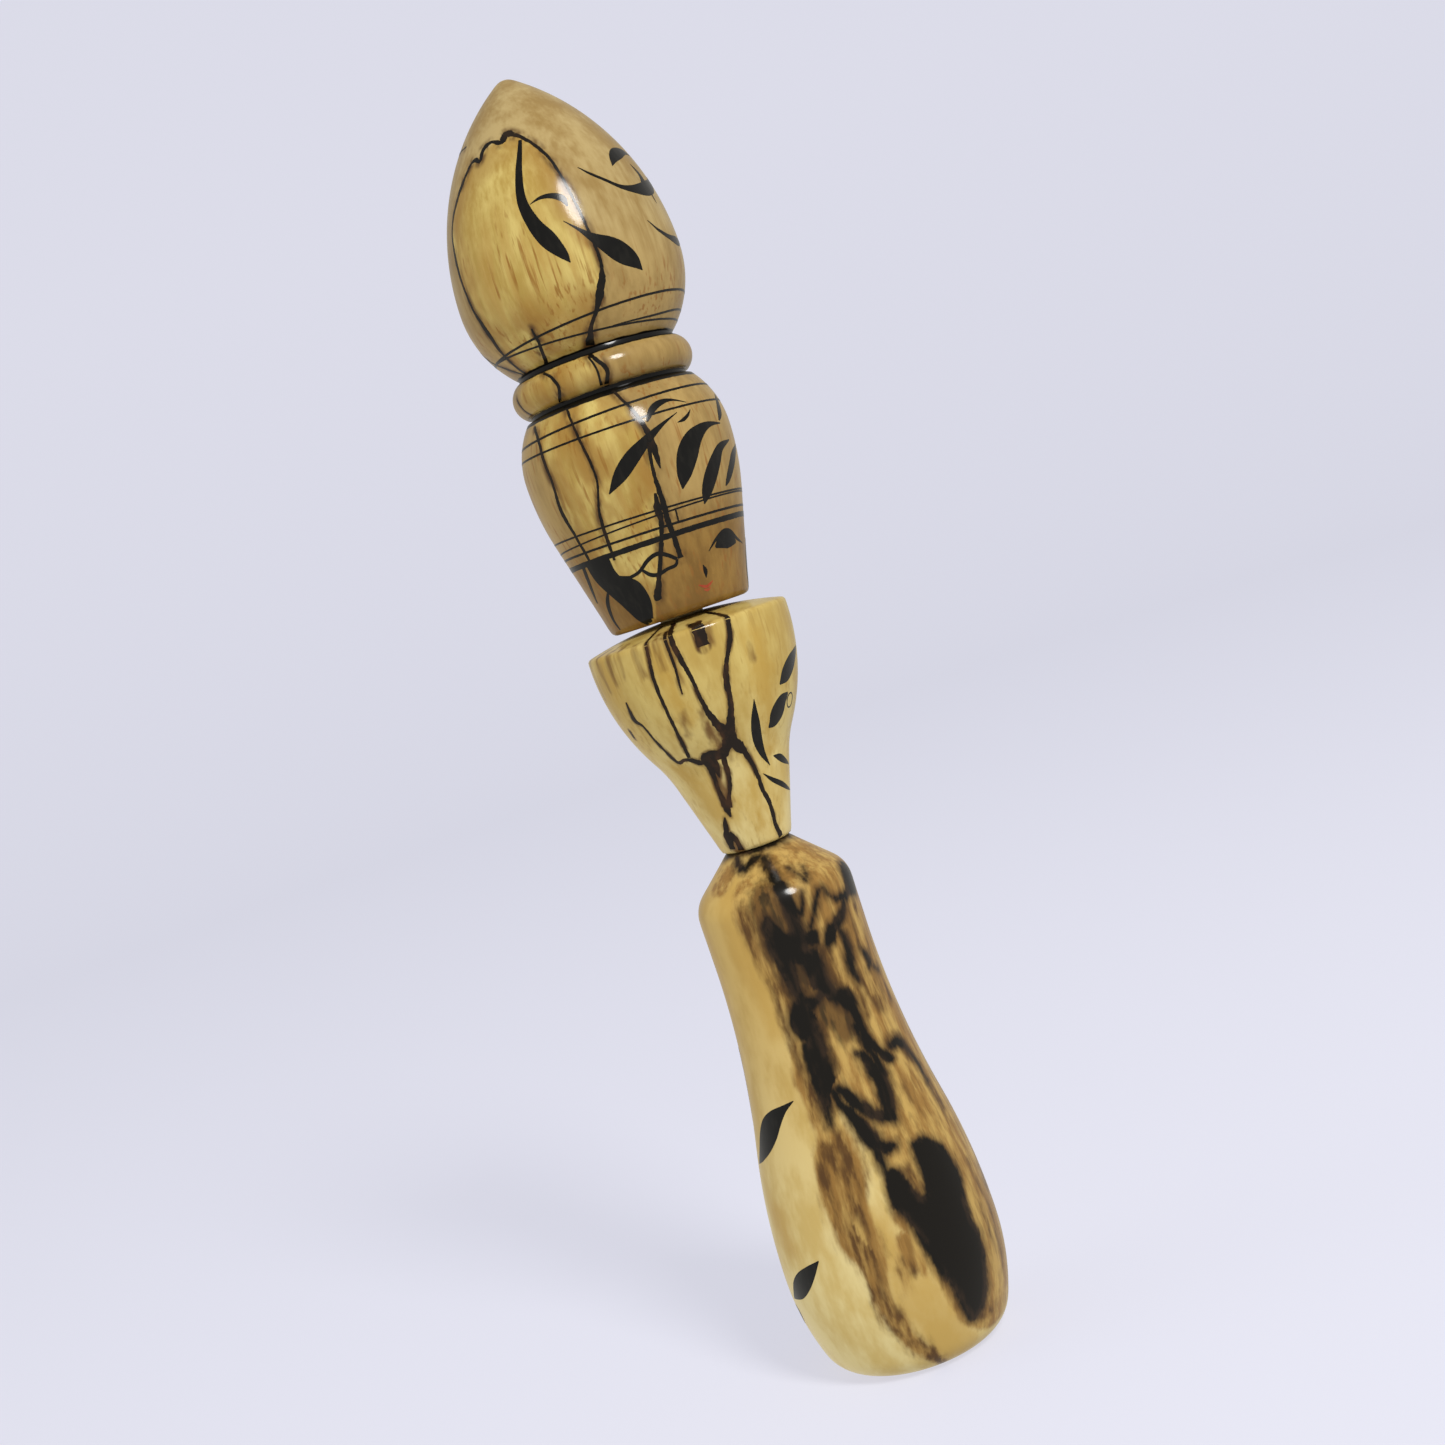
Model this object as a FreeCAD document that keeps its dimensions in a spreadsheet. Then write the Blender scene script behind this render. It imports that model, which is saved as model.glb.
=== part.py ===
"""A slender kokeshi doll turned from three blocks of spalted wood: a body, a flared bust and a tall
hooded head.  Hidden round pegs join them.  The bust is glued to the body, and the head turns on the
neck peg.  Millimetres, +Z up, origin at the middle of the foot.

Each turned piece is half an outline, X the radius and Y the height above the piece's own base, that is
revolved about its axis, eased along its edges and bored.  The Placements stack the pieces."""

import FreeCAD, Part
import math
import os

import Sketcher
from FreeCAD import Placement, Rotation, Vector

SIZES = {
    # lower block
    "body_height": 97.4,
    "body_heel_radius": 15.9,
    "body_heel_round": 6.8,
    "body_hip_radius": 20.35,
    "body_hip_height": 19.6,
    "body_turn_height": 44.0,
    "body_waist_radius": 14.4,
    "body_waist_height": 77.0,
    "body_shoulder_radius": 14.5,
    "body_shoulder_height": 89.3,
    "body_shoulder_round": 6.0,
    "body_neck_radius": 5.8,
    "body_neck_round": 0.4,
    # middle block
    "bust_height": 43.3,
    "bust_foot_radius": 6.5,
    "bust_foot_round": 0.8,
    "bust_flare_radius": 11.6,
    "bust_flare_height": 17.0,
    "bust_flare_round": 24.0,
    "bust_rim_radius": 18.65,
    "bust_rim_height": 39.5,
    "bust_edge_height": 40.8,
    "bust_edge_round": 0.8,
    # upper block
    "head_height": 99.1,
    "chin_radius": 12.8,
    "chin_round": 1.2,
    "cheek_height": 18.6,
    "brow_radius": 19.05,
    "brow_height": 30.2,
    "crown_radius": 15.5,
    "crown_height": 40.2,
    "groove_radius": 14.4,
    "lower_groove_height": 40.6,
    "bead_bottom": 41.3,
    "bead_top": 47.3,
    "bead_foot_radius": 15.1,
    "bead_radius": 16.65,
    "upper_groove_height": 47.8,
    "dome_foot_radius": 14.3,
    "dome_foot_height": 48.15,
    "dome_radius": 20.5,
    "dome_height": 62.3,
    "tip_round": 3.0,
    # pegs, and the bores that they fill
    "waist_peg_radius": 3.0,
    "waist_peg_in_body": 18.0,
    "waist_peg_in_bust": 14.0,
    "neck_peg_radius": 4.0,
    "neck_peg_in_bust": 14.0,
    "neck_peg_in_head": 16.0,
    "peg_chamfer": 0.6,
    "bore_spare_depth": 0.6,
    "glue_gap": 0.05,
    "running_gap": 0.05,
    "head_gap": 0.2,
}

doc = FreeCAD.newDocument("kokeshi_doll")


def make_sheet():
    """The driving dimensions, one named cell each."""
    sheet = doc.addObject("Spreadsheet::Sheet", "Sizes")
    for row, (name, value) in enumerate(SIZES.items(), start=1):
        sheet.set(f"A{row}", name)
        sheet.set(f"B{row}", str(value))
        sheet.setAlias(f"B{row}", name)
    doc.recompute()


def bind(obj, prop, expression):
    """Binds a property to an expression in which each cell's name stands apart as a word."""
    words = [f"Sizes.{word}" if word in SIZES else word for word in expression.split()]
    obj.setExpression(prop, " ".join(words))


def upright_radius(start, end):
    """The radius of the arc between two points that runs straight up or down at one of them."""
    return (end - start).Length ** 2 / (2 * abs(end.x - start.x))


class Outline:
    """The closed half outline of a turned piece, as a sketch on the piece's own XZ plane."""

    def __init__(self, body):
        self.sketch = new_sketch(body, body.Label + "_outline", "XZ_Plane")
        self.ends = []
        self.point = Vector(0, 0, 0)

    def add(self, curve, end):
        """Adds a curve from the last point to end, and notes which of its own ends comes first."""
        index = self.sketch.addGeometry(curve, False)
        first, last = self.sketch.getPoint(index, 1), self.sketch.getPoint(index, 2)
        forward = (first - self.point).Length < (last - self.point).Length
        self.ends.append((1, 2) if forward else (2, 1))
        self.point = end
        return index

    def line(self, radius, height):
        end = Vector(radius, height, 0)
        return self.add(Part.LineSegment(self.point, end), end)

    def arc(self, radius, height, curve):
        """An arc of the radius curve that bulges outward, or inward where curve is negative."""
        end = Vector(radius, height, 0)
        chord = end - self.point
        rise = abs(curve) - math.sqrt(curve * curve - chord.Length ** 2 / 4)
        side = Vector(chord.y, -chord.x, 0).normalize() * math.copysign(rise, curve)
        return self.add(Part.Arc(self.point, (self.point + end) * 0.5 + side, end), end)

    def constrain(self, *rule):
        return self.sketch.addConstraint(Sketcher.Constraint(*rule))

    def close(self, smooth=()):
        """Joins the curves in a ring from the origin; the pairs in smooth meet tangentially."""
        for index, (first, last) in enumerate(self.ends):
            after = (index + 1) % len(self.ends)
            kind = "Tangent" if (index, after) in smooth else "Coincident"
            self.constrain(kind, index, last, after, self.ends[after][0])
        self.constrain("Coincident", 0, self.ends[0][0], -1, 1)

    def measure(self, kind, value, expression, *where):
        """A dimension that follows the sheet."""
        number = self.constrain(kind, *where, value)
        name = f"size_{number}"
        self.sketch.renameConstraint(number, name)
        bind(self.sketch, f"Constraints.{name}", expression)

    def end_at(self, index, radius=None, height=None):
        """Holds the far end of a curve at the radius and the height in two cells."""
        last = self.ends[index][1]
        if radius:
            self.measure("DistanceX", SIZES[radius], radius, index, last)
        if height:
            self.measure("DistanceY", SIZES[height], height, index, last)

    def upright(self, index, end):
        """Makes an arc run straight up or down at its start (0) or its far end (1)."""
        self.constrain("Horizontal", index, 3, index, self.ends[index][end])


def new_body(name):
    body = doc.addObject("PartDesign::Body", name)
    body.Label = name
    return body


def new_sketch(body, name, role):
    """A sketch on one of the body's own origin planes."""
    plane = next(feature for feature in body.Origin.OriginFeatures if feature.Role == role)
    sketch = body.newObject("Sketcher::SketchObject", name)
    sketch.AttachmentSupport = (plane, [""])
    sketch.MapMode = "FlatFace"
    return sketch


def circle_sketch(body, name, radius):
    """A circle about the axis, of the radius that the expression gives."""
    sketch = new_sketch(body, name, "XY_Plane")
    sketch.addGeometry(Part.Circle(Vector(0, 0, 0), Vector(0, 0, 1), SIZES[radius.split()[0]]), False)
    sketch.addConstraint(Sketcher.Constraint("Coincident", 0, 3, -1, 1))
    number = sketch.addConstraint(Sketcher.Constraint("Radius", 0, SIZES[radius.split()[0]]))
    sketch.renameConstraint(number, "round")
    bind(sketch, "Constraints.round", radius)
    return sketch


def turn(body, outline):
    """Revolves the half outline about the piece's axis."""
    turned = body.newObject("PartDesign::Revolution", body.Label + "_turned")
    turned.Profile = outline.sketch
    turned.ReferenceAxis = (outline.sketch, ["V_Axis"])
    turned.Angle = 360
    doc.recompute()
    return turned


def round_edge(feature, radius, height, near=0.01):
    """The name of the feature's round edge of that radius at that height."""
    for number, edge in enumerate(feature.Shape.Edges, start=1):
        if edge.Degenerated or not isinstance(edge.Curve, Part.Circle):
            continue
        if abs(edge.Curve.Radius - radius) < near and abs(edge.Curve.Center.z - height) < near:
            return f"Edge{number}"
    raise RuntimeError(f"{feature.Name} has no round edge of radius {radius} at height {height}")


def ease(feature, radius, height, cell):
    """Rounds the edge at that radius and height by the size in the cell."""
    eased = feature.getParent().newObject("PartDesign::Fillet", cell)
    eased.Base = (feature, [round_edge(feature, radius, height)])
    bind(eased, "Radius", cell)
    doc.recompute()
    return eased


def bore(body, name, radius, depth, top=None):
    """A blind hole along the axis, down from the cell top or up from the piece's base."""
    sketch = circle_sketch(body, name + "_mouth", radius)
    if top:
        bind(sketch, "AttachmentOffset.Base.z", top)
    before = body.Shape.Volume
    hole = body.newObject("PartDesign::Pocket", name)
    hole.Profile = sketch
    hole.Reversed = top is None
    bind(hole, "Length", depth)
    doc.recompute()
    removed = before - hole.Shape.Volume
    expected = math.pi * SIZES[radius.split()[0]] ** 2 * hole.Length.Value
    if abs(removed / expected - 1) > 0.1:
        raise RuntimeError(f"{name} removes {removed:.0f} cubic mm, not about {expected:.0f}")


def make_lower_block():
    """A rounded foot, full hips, a long drawn-in waist and steep shoulders."""
    s = SIZES
    hip = Vector(s["body_hip_radius"], s["body_hip_height"], 0)
    waist = Vector(s["body_waist_radius"], s["body_waist_height"], 0)
    share = (s["body_turn_height"] - hip.y) / (waist.y - hip.y)
    turning = hip + (waist - hip) * share
    heel = Vector(s["body_heel_radius"], 0, 0)

    body = new_body("body")
    outline = Outline(body)
    foot = outline.line(heel.x, heel.y)
    under_hip = outline.arc(hip.x, hip.y, upright_radius(heel, hip))
    over_hip = outline.arc(turning.x, turning.y, upright_radius(turning, hip))
    drawn_in = outline.arc(waist.x, waist.y, -upright_radius(turning, waist))
    chest = outline.line(s["body_shoulder_radius"], s["body_shoulder_height"])
    shoulder = outline.line(s["body_neck_radius"], s["body_height"])
    top = outline.line(0, s["body_height"])
    outline.line(0, 0)
    outline.close(smooth={(over_hip, drawn_in)})
    outline.constrain("Horizontal", foot)
    outline.end_at(foot, radius="body_heel_radius")
    outline.end_at(under_hip, "body_hip_radius", "body_hip_height")
    outline.upright(under_hip, 1)
    outline.upright(over_hip, 0)
    outline.end_at(over_hip, height="body_turn_height")
    outline.end_at(drawn_in, "body_waist_radius", "body_waist_height")
    outline.upright(drawn_in, 1)
    outline.end_at(chest, "body_shoulder_radius", "body_shoulder_height")
    outline.end_at(shoulder, "body_neck_radius", "body_height")
    outline.constrain("Horizontal", top)
    outline.constrain("PointOnObject", top, outline.ends[top][1], -2)

    block = turn(body, outline)
    block = ease(block, s["body_heel_radius"], 0, "body_heel_round")
    block = ease(block, s["body_shoulder_radius"], s["body_shoulder_height"], "body_shoulder_round")
    ease(block, s["body_neck_radius"], s["body_height"], "body_neck_round")
    bore(body, "waist_bore_in_body", "waist_peg_radius + glue_gap",
         "waist_peg_in_body + bore_spare_depth", top="body_height")
    return body


def make_bust():
    """A narrow stem that flares to a wide rim, under a shallow domed top."""
    s = SIZES
    flare_end = Vector(s["bust_flare_radius"], s["bust_flare_height"], 0)
    rim = Vector(s["bust_rim_radius"], s["bust_rim_height"], 0)
    cap_rise = s["bust_height"] - s["bust_edge_height"]

    body = new_body("bust")
    outline = Outline(body)
    foot = outline.line(s["bust_foot_radius"], 0)
    stem = outline.line(flare_end.x, flare_end.y)
    bowl = outline.arc(rim.x, rim.y, upright_radius(flare_end, rim))
    edge = outline.line(rim.x, s["bust_edge_height"])
    cap = outline.arc(0, s["bust_height"], (rim.x ** 2 + cap_rise ** 2) / (2 * cap_rise))
    outline.line(0, 0)
    outline.close()
    outline.constrain("Horizontal", foot)
    outline.end_at(foot, radius="bust_foot_radius")
    outline.end_at(stem, "bust_flare_radius", "bust_flare_height")
    outline.end_at(bowl, "bust_rim_radius", "bust_rim_height")
    outline.upright(bowl, 1)
    outline.constrain("Vertical", edge)
    outline.end_at(edge, height="bust_edge_height")
    outline.end_at(cap, height="bust_height")
    outline.constrain("PointOnObject", cap, outline.ends[cap][1], -2)
    outline.constrain("PointOnObject", cap, 3, -2)

    block = turn(body, outline)
    block = ease(block, flare_end.x, flare_end.y, "bust_flare_round")
    block = ease(block, s["bust_rim_radius"], s["bust_edge_height"], "bust_edge_round")
    ease(block, s["bust_foot_radius"], 0, "bust_foot_round")
    bore(body, "waist_bore_in_bust", "waist_peg_radius + glue_gap", "waist_peg_in_bust + bore_spare_depth")
    bore(body, "neck_bore_in_bust", "neck_peg_radius + glue_gap",
         "neck_peg_in_bust + bore_spare_depth", top="bust_height")
    return body


def make_head():
    """A face that widens to the brow, a round bead between two grooves, and a pointed hood."""
    s = SIZES
    brow = Vector(s["brow_radius"], s["brow_height"], 0)
    crown = Vector(s["crown_radius"], s["crown_height"], 0)
    jaw_slope = (brow.x - s["chin_radius"]) / (s["cheek_height"] + (brow.y - s["cheek_height"]) / 2)
    cheek = Vector(s["chin_radius"] + jaw_slope * s["cheek_height"], s["cheek_height"], 0)
    dome_foot = Vector(s["dome_foot_radius"], s["dome_foot_height"], 0)
    widest = Vector(s["dome_radius"], s["dome_height"], 0)
    tip_centre = Vector(0, s["head_height"] - s["tip_round"], 0)
    dome_curve = ((widest - tip_centre).Length ** 2 - s["tip_round"] ** 2) / (2 * (widest.x - s["tip_round"]))
    away = tip_centre - (widest - Vector(dome_curve, 0, 0))
    tip_edge = tip_centre + away.normalize() * s["tip_round"]
    half_bead = (s["bead_top"] - s["bead_bottom"]) / 2
    bead_swell = s["bead_radius"] - s["bead_foot_radius"]
    bead_curve = (half_bead ** 2 + bead_swell ** 2) / (2 * bead_swell)

    body = new_body("head")
    outline = Outline(body)
    chin = outline.line(s["chin_radius"], 0)
    jaw = outline.line(cheek.x, cheek.y)
    temple = outline.arc(brow.x, brow.y, upright_radius(cheek, brow))
    forehead = outline.arc(crown.x, crown.y, upright_radius(crown, brow))
    lower_lip = outline.line(s["groove_radius"], s["lower_groove_height"])
    lower_floor = outline.line(s["groove_radius"], s["bead_bottom"])
    lower_wall = outline.line(s["bead_foot_radius"], s["bead_bottom"])
    bead = outline.arc(s["bead_foot_radius"], s["bead_top"], bead_curve)
    upper_wall = outline.line(s["groove_radius"], s["bead_top"])
    upper_floor = outline.line(s["groove_radius"], s["upper_groove_height"])
    upper_lip = outline.line(dome_foot.x, dome_foot.y)
    under_dome = outline.arc(widest.x, widest.y, upright_radius(dome_foot, widest))
    dome = outline.arc(tip_edge.x, tip_edge.y, dome_curve)
    tip = outline.arc(0, s["head_height"], s["tip_round"])
    outline.line(0, 0)
    outline.close(smooth={(jaw, temple), (dome, tip)})
    outline.constrain("Horizontal", chin)
    outline.end_at(chin, radius="chin_radius")
    outline.end_at(jaw, height="cheek_height")
    outline.end_at(temple, "brow_radius", "brow_height")
    outline.upright(temple, 1)
    outline.end_at(forehead, "crown_radius", "crown_height")
    outline.upright(forehead, 0)
    outline.end_at(lower_lip, "groove_radius", "lower_groove_height")
    outline.constrain("Vertical", lower_floor)
    outline.constrain("Horizontal", lower_wall)
    outline.end_at(lower_wall, "bead_foot_radius", "bead_bottom")
    outline.end_at(bead, "bead_foot_radius", "bead_top")
    outline.measure("Radius", bead_curve, "( ( bead_top - bead_bottom ) ^ 2 / 4 + "
                    "( bead_radius - bead_foot_radius ) ^ 2 ) / "
                    "( 2 * ( bead_radius - bead_foot_radius ) )", bead)
    outline.constrain("Horizontal", upper_wall)
    outline.constrain("Vertical", upper_floor)
    outline.end_at(upper_floor, "groove_radius", "upper_groove_height")
    outline.end_at(upper_lip, "dome_foot_radius", "dome_foot_height")
    outline.end_at(under_dome, "dome_radius", "dome_height")
    outline.upright(under_dome, 1)
    outline.upright(dome, 0)
    outline.measure("Radius", s["tip_round"], "tip_round", tip)
    outline.constrain("PointOnObject", tip, 3, -2)
    outline.constrain("PointOnObject", tip, outline.ends[tip][1], -2)
    outline.end_at(tip, height="head_height")

    block = turn(body, outline)
    ease(block, s["chin_radius"], 0, "chin_round")
    bore(body, "neck_bore_in_head", "neck_peg_radius + running_gap", "neck_peg_in_head + bore_spare_depth")
    return body


def make_peg(name, radius, length):
    """A plain round peg with both ends chamfered, standing on its own base."""
    body = new_body(name)
    rod = body.newObject("PartDesign::Pad", name + "_rod")
    rod.Profile = circle_sketch(body, name + "_section", radius)
    bind(rod, "Length", length)
    doc.recompute()
    ends = body.newObject("PartDesign::Chamfer", name + "_ends")
    ends.Base = (rod, [round_edge(rod, SIZES[radius], height) for height in (0, rod.Length.Value)])
    bind(ends, "Size", "peg_chamfer")
    doc.recompute()
    return body


def stack(body, bust, head, waist_peg, neck_peg):
    """Stands the bust on the body and the head just clear of the bust, with the pegs across."""
    heights = {
        body: "0",
        bust: "body_height",
        head: "body_height + bust_height + head_gap",
        waist_peg: "body_height - waist_peg_in_body",
        neck_peg: "body_height + bust_height - neck_peg_in_bust",
    }
    for piece, height in heights.items():
        piece.Placement = Placement(Vector(0, 0, 0), Rotation())
        bind(piece, "Placement.Base.z", height)
    doc.recompute()


def check_and_export(pieces):
    """Stops at a failed feature or shape, and otherwise writes each piece to its own file."""
    for obj in doc.Objects:
        if "Invalid" in obj.State or "Error" in obj.State:
            raise RuntimeError(f"{obj.Name} failed: {obj.State}")
    for piece in pieces:
        if piece.Shape.isNull() or not piece.Shape.isValid() or len(piece.Shape.Solids) != 1:
            raise RuntimeError(f"{piece.Label} is not one valid solid")
    os.makedirs("parts", exist_ok=True)
    for piece in pieces:
        piece.Shape.exportStep(f"parts/{piece.Label}.step")
        box = piece.Shape.optimalBoundingBox(False, True)
        print(f"{piece.Label}: z {box.ZMin:.2f} to {box.ZMax:.2f}, radius {box.XMax:.2f}, "
              f"volume {piece.Shape.Volume:.0f}")


make_sheet()
pieces = [
    make_lower_block(),
    make_bust(),
    make_head(),
    make_peg("waist_peg", "waist_peg_radius", "waist_peg_in_body + waist_peg_in_bust"),
    make_peg("neck_peg", "neck_peg_radius", "neck_peg_in_bust + head_gap + neck_peg_in_head"),
]
stack(*pieces)
check_and_export(pieces)
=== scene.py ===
"""A kokeshi doll turned from spalted wood: its visual model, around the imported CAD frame.

Lengths are in millimetres and azimuths in degrees, 0 towards the face and growing towards the
viewer's right, until mesh_piece() turns them into metres.
"""
import math

import bpy
import numpy as np
from mathutils import Matrix, Vector, kdtree, noise


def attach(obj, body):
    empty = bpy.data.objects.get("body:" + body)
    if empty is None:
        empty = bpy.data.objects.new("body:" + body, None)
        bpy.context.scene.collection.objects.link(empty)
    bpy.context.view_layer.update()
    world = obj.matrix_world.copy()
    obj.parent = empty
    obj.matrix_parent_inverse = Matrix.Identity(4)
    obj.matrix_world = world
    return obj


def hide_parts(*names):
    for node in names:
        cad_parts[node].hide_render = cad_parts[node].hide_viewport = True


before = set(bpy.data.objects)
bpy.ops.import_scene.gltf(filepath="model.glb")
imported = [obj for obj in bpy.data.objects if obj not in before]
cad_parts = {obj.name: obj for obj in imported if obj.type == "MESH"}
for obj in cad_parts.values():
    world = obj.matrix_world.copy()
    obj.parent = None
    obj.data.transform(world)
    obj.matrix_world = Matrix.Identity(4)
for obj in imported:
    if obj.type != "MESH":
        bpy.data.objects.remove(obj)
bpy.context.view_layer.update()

METRES = 0.001

# Turned blocks: how finely they are divided, and what counts as a bore, a corner or the seam
SIDES = 288
ROW = 0.5
BORE_ROW = 2.0
BORE_LIMIT = 4.5
CORNER = math.radians(33)
SEAM_SLACK = 1e-3
SHARP_EDGE = math.radians(40)
MEAN_RADIUS = 16
SLOPE_REACH = 0.15

# Paint and dark lines are thin solids that follow the wood
PROUD = 0.03
SUNK = 0.06
INK_STEP = 0.35
INK_LANE = 0.45
FINEST_INK = 0.04
RAGGED_DRIFT = 0.35
RAGGED_WIDTH = 0.7
FIELD_STEP = 0.12
OUTLINE_STEP = 0.48
NEIGHBOURS = 6
RING_STEP = 15
LOOP_PARTS = 12

# Strokes are lists of (azimuth, height, width), each with the few points that its curve needs.
# The head: dark lines in the wood of the hood, the bead and the barrel
HEAD_ZONE_LINES = [
    [(-84, 189.3, .7), (-83, 193, .6), (-81, 197.5, 1.1), (-84, 203, .6), (-88, 211, .8),
     (-89, 217, .5), (-80, 221.5, .9), (-69, 225.3, .6), (-63, 225.9, .8), (-59, 225.2, .7),
     (-56, 227, .9), (-49, 227.7, .7), (-41, 226.9, 1), (-36, 228, 1.5), (-30, 227.4, 1)],
    [(-30, 227.4, .9), (-24.5, 226.2, .7), (-16.5, 223, .6), (-12, 218, .5), (-8.5, 205, .5),
     (-8.5, 200.5, .7), (-11.5, 197.5, 1.5), (-16, 194.5, .9), (-21, 192.5, .7), (-26, 189.5, 1.6)],
    [(-28, 188, .8), (-22.5, 185.6, .7), (-21, 184, .7), (-24, 182, .8)],
    [(-29, 187.7, .4), (-26.5, 185, .35), (-27, 182.4, .5)],
    [(-62, 187.8, .5), (-56, 186.7, .5), (-52.3, 185, .6), (-53.5, 183.5, .6), (-58.5, 182, .6)],
    [(-92.5, 185.6, .3), (-91, 184, .45), (-90, 182.4, .4)],
    [(-53, 195, .3), (-54, 192.5, .6), (-58, 190, .7), (-61, 189.2, .6)],
    [(-21.5, 181, .6), (-18.5, 179, .5), (-15, 176.6, .6), (-12, 172.8, 1), (-11.2, 169, 1.3),
     (-11, 165.7, .2)],
    [(-13, 170.5, .7), (-15, 166, .6), (-15, 161.5, .9), (-15, 158, 1), (-14, 153.5, .9),
     (-13.5, 150.3, .9)],
    [(-17.5, 162, .4), (-18.5, 159.7, 1.2), (-19, 157.3, .9), (-21, 155, .8), (-26, 151.4, .8),
     (-32.5, 147.5, .9), (-37, 145.3, 1.4), (-39.5, 144.7, .4)],
    [(-53, 180.8, .5), (-48.5, 176.5, .45), (-45, 171, .5), (-45, 166.8, .4), (-50, 162.3, .5),
     (-52, 159.1, .7), (-54.5, 153.5, .5)],
    [(-83, 180, .6), (-76, 177, .7), (-73, 173, .7), (-72, 169, .6), (-74, 164.5, .9),
     (-73, 160, .7), (-73, 154.6, .7)],
    [(-9, 158.4, .3), (-9, 156.2, .3)],
]
HEAD_BACK_ZONE_LINES = [
    [(-87, 189.4, .5), (-112, 195, .6), (-131, 200, .4), (-140, 209, .5), (-158, 214, .6),
     (-172, 221, .4), (-168, 229, .4), (-140, 232, .5), (-110, 230, .4), (-80, 229.5, .3)],
    [(150, 189.2, .6), (158, 196, .5), (152, 203, .4), (163, 209, .6), (186, 214, .5)],
    [(150, 181.2, .5), (144, 174, .5), (151, 166, .7), (140, 158, .5), (147, 150, .6),
     (139, 142, .4)],
    [(-128, 181.2, .4), (-121, 172, .5), (-130, 163, .4), (-124, 154, .6), (-135, 146, .5)],
]
# The golden patch of wood inside those lines
HEART_OUTLINE = [(-84, 188), (-81, 197), (-88, 211), (-88, 218), (-78, 223), (-60, 226), (-40, 227.5),
                 (-22, 225.5), (-12, 218), (-8.5, 203), (-11, 198), (-26, 189), (-21, 184),
                 (-23, 181), (-12, 173), (-15, 164), (-19, 157), (-26, 151), (-40, 144), (-52, 141),
                 (-74, 154), (-72, 169), (-76, 177), (-88, 182)]

# Leaves, each spray on one side of a middle azimuth and mirrored on its other side
HOOD_SPRAY = [
    [(-27, 226, .6), (-33, 220.5, 1.2), (-35.5, 215.5, 1.7), (-33, 211, 2.4), (-28.5, 207.5, 3),
     (-24, 204.5, 1.7), (-22, 202.8, .1)],
    [(-32, 214.3, .1), (-26, 214.8, .6), (-20, 214.5, 1), (-15.5, 213.5, 1.2), (-14.5, 212, .3)],
    [(-19, 209.8, .1), (-13, 207.6, .6), (-8, 205.7, 1.6), (-1, 203.6, 3.4), (4, 202, 3.7),
     (9, 200.4, 2.6), (13, 198.6, .1)],
    [(26, 206.8, .1), (32, 205, .6), (41, 203.7, 1), (52, 203.2, 1.7), (64, 203.5, .2)],
]
HOOD_KNOT = [
    [(-1, 218.2, .1), (4, 216.6, .5), (11, 214.9, .6), (18, 213.4, .8), (26, 212.7, 1.5),
     (36, 212.6, 2.6), (46, 213.3, 2.6), (58, 215, 1.2), (67, 217, .1)],
    [(40, 213.5, 1.8), (42, 215.5, 1.2), (39, 217.7, .1)],
    [(42, 212.5, .8), (43, 210, .1)],
    [(21, 217.4, .1), (26, 218.9, 1.8), (33, 219.9, 2.4), (43, 220.4, 1.4), (53, 220, .1)],
]
HOOD_MIDDLE = 78

BARREL_SPRAY = [
    [(8, 174, .1), (-2, 172.8, .6), (-12, 171.2, 1.5), (-23, 169, 2.6), (-32, 166.7, 2.4),
     (-41, 164.3, .2)],
    [(-10, 173.9, .4), (-5, 175.6, 1.2), (1, 176.4, 1.1), (8, 176.4, .5), (17, 175.3, .1)],
    [(6, 172.3, .1), (10, 172.5, .6), (14, 173.1, .5), (17, 173.9, .1)],
    [(38, 170.5, .2), (28, 170.7, .9), (20, 170.2, 2), (12, 168.8, 3.5), (6, 166.6, 4.1),
     (1, 163.6, 2.8), (-2, 161.3, .2)],
    [(44, 167.4, .2), (32, 166.5, 1.5), (25, 164.6, 2.6), (18, 162, 3), (13, 159.6, 2.2),
     (10, 157.8, .2)],
    [(58, 166.6, .2), (46, 164.6, 1.9), (38, 162.3, 1.8), (33, 160.7, 1.2), (30, 159.8, .2)],
    [(38, 171, .4), (43, 172.6, 1.5), (49, 174.8, 1), (54, 176, .2)],
]
BARREL_MIDDLE = 64

# Rings drawn while the head turns in the lathe: (height, tilt, azimuth of the high side, width)
DRAWN_RINGS = [(193.9, 1.1, 60, .42), (191.8, 1.2, -130, .38), (177.7, .5, 50, .45),
               (175, .15, 180, .38), (159.2, .4, -110, .34), (158, .5, 20, .3),
               (156.2, .2, -100, .42), (154.5, 0, 0, 1)]
OPEN_RING = [(-9, 191.3, .2), (20, 191.4, .4), (50, 192, .4), (90, 192.4, .3), (120, 192.6, .1)]

# Black paint in the two grooves, by height, and how soft its edges are
GROOVE_PAINT = [(187.95, 189.35), (180.4, 182.15)]
GROOVE_EDGE = 0.08

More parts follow.
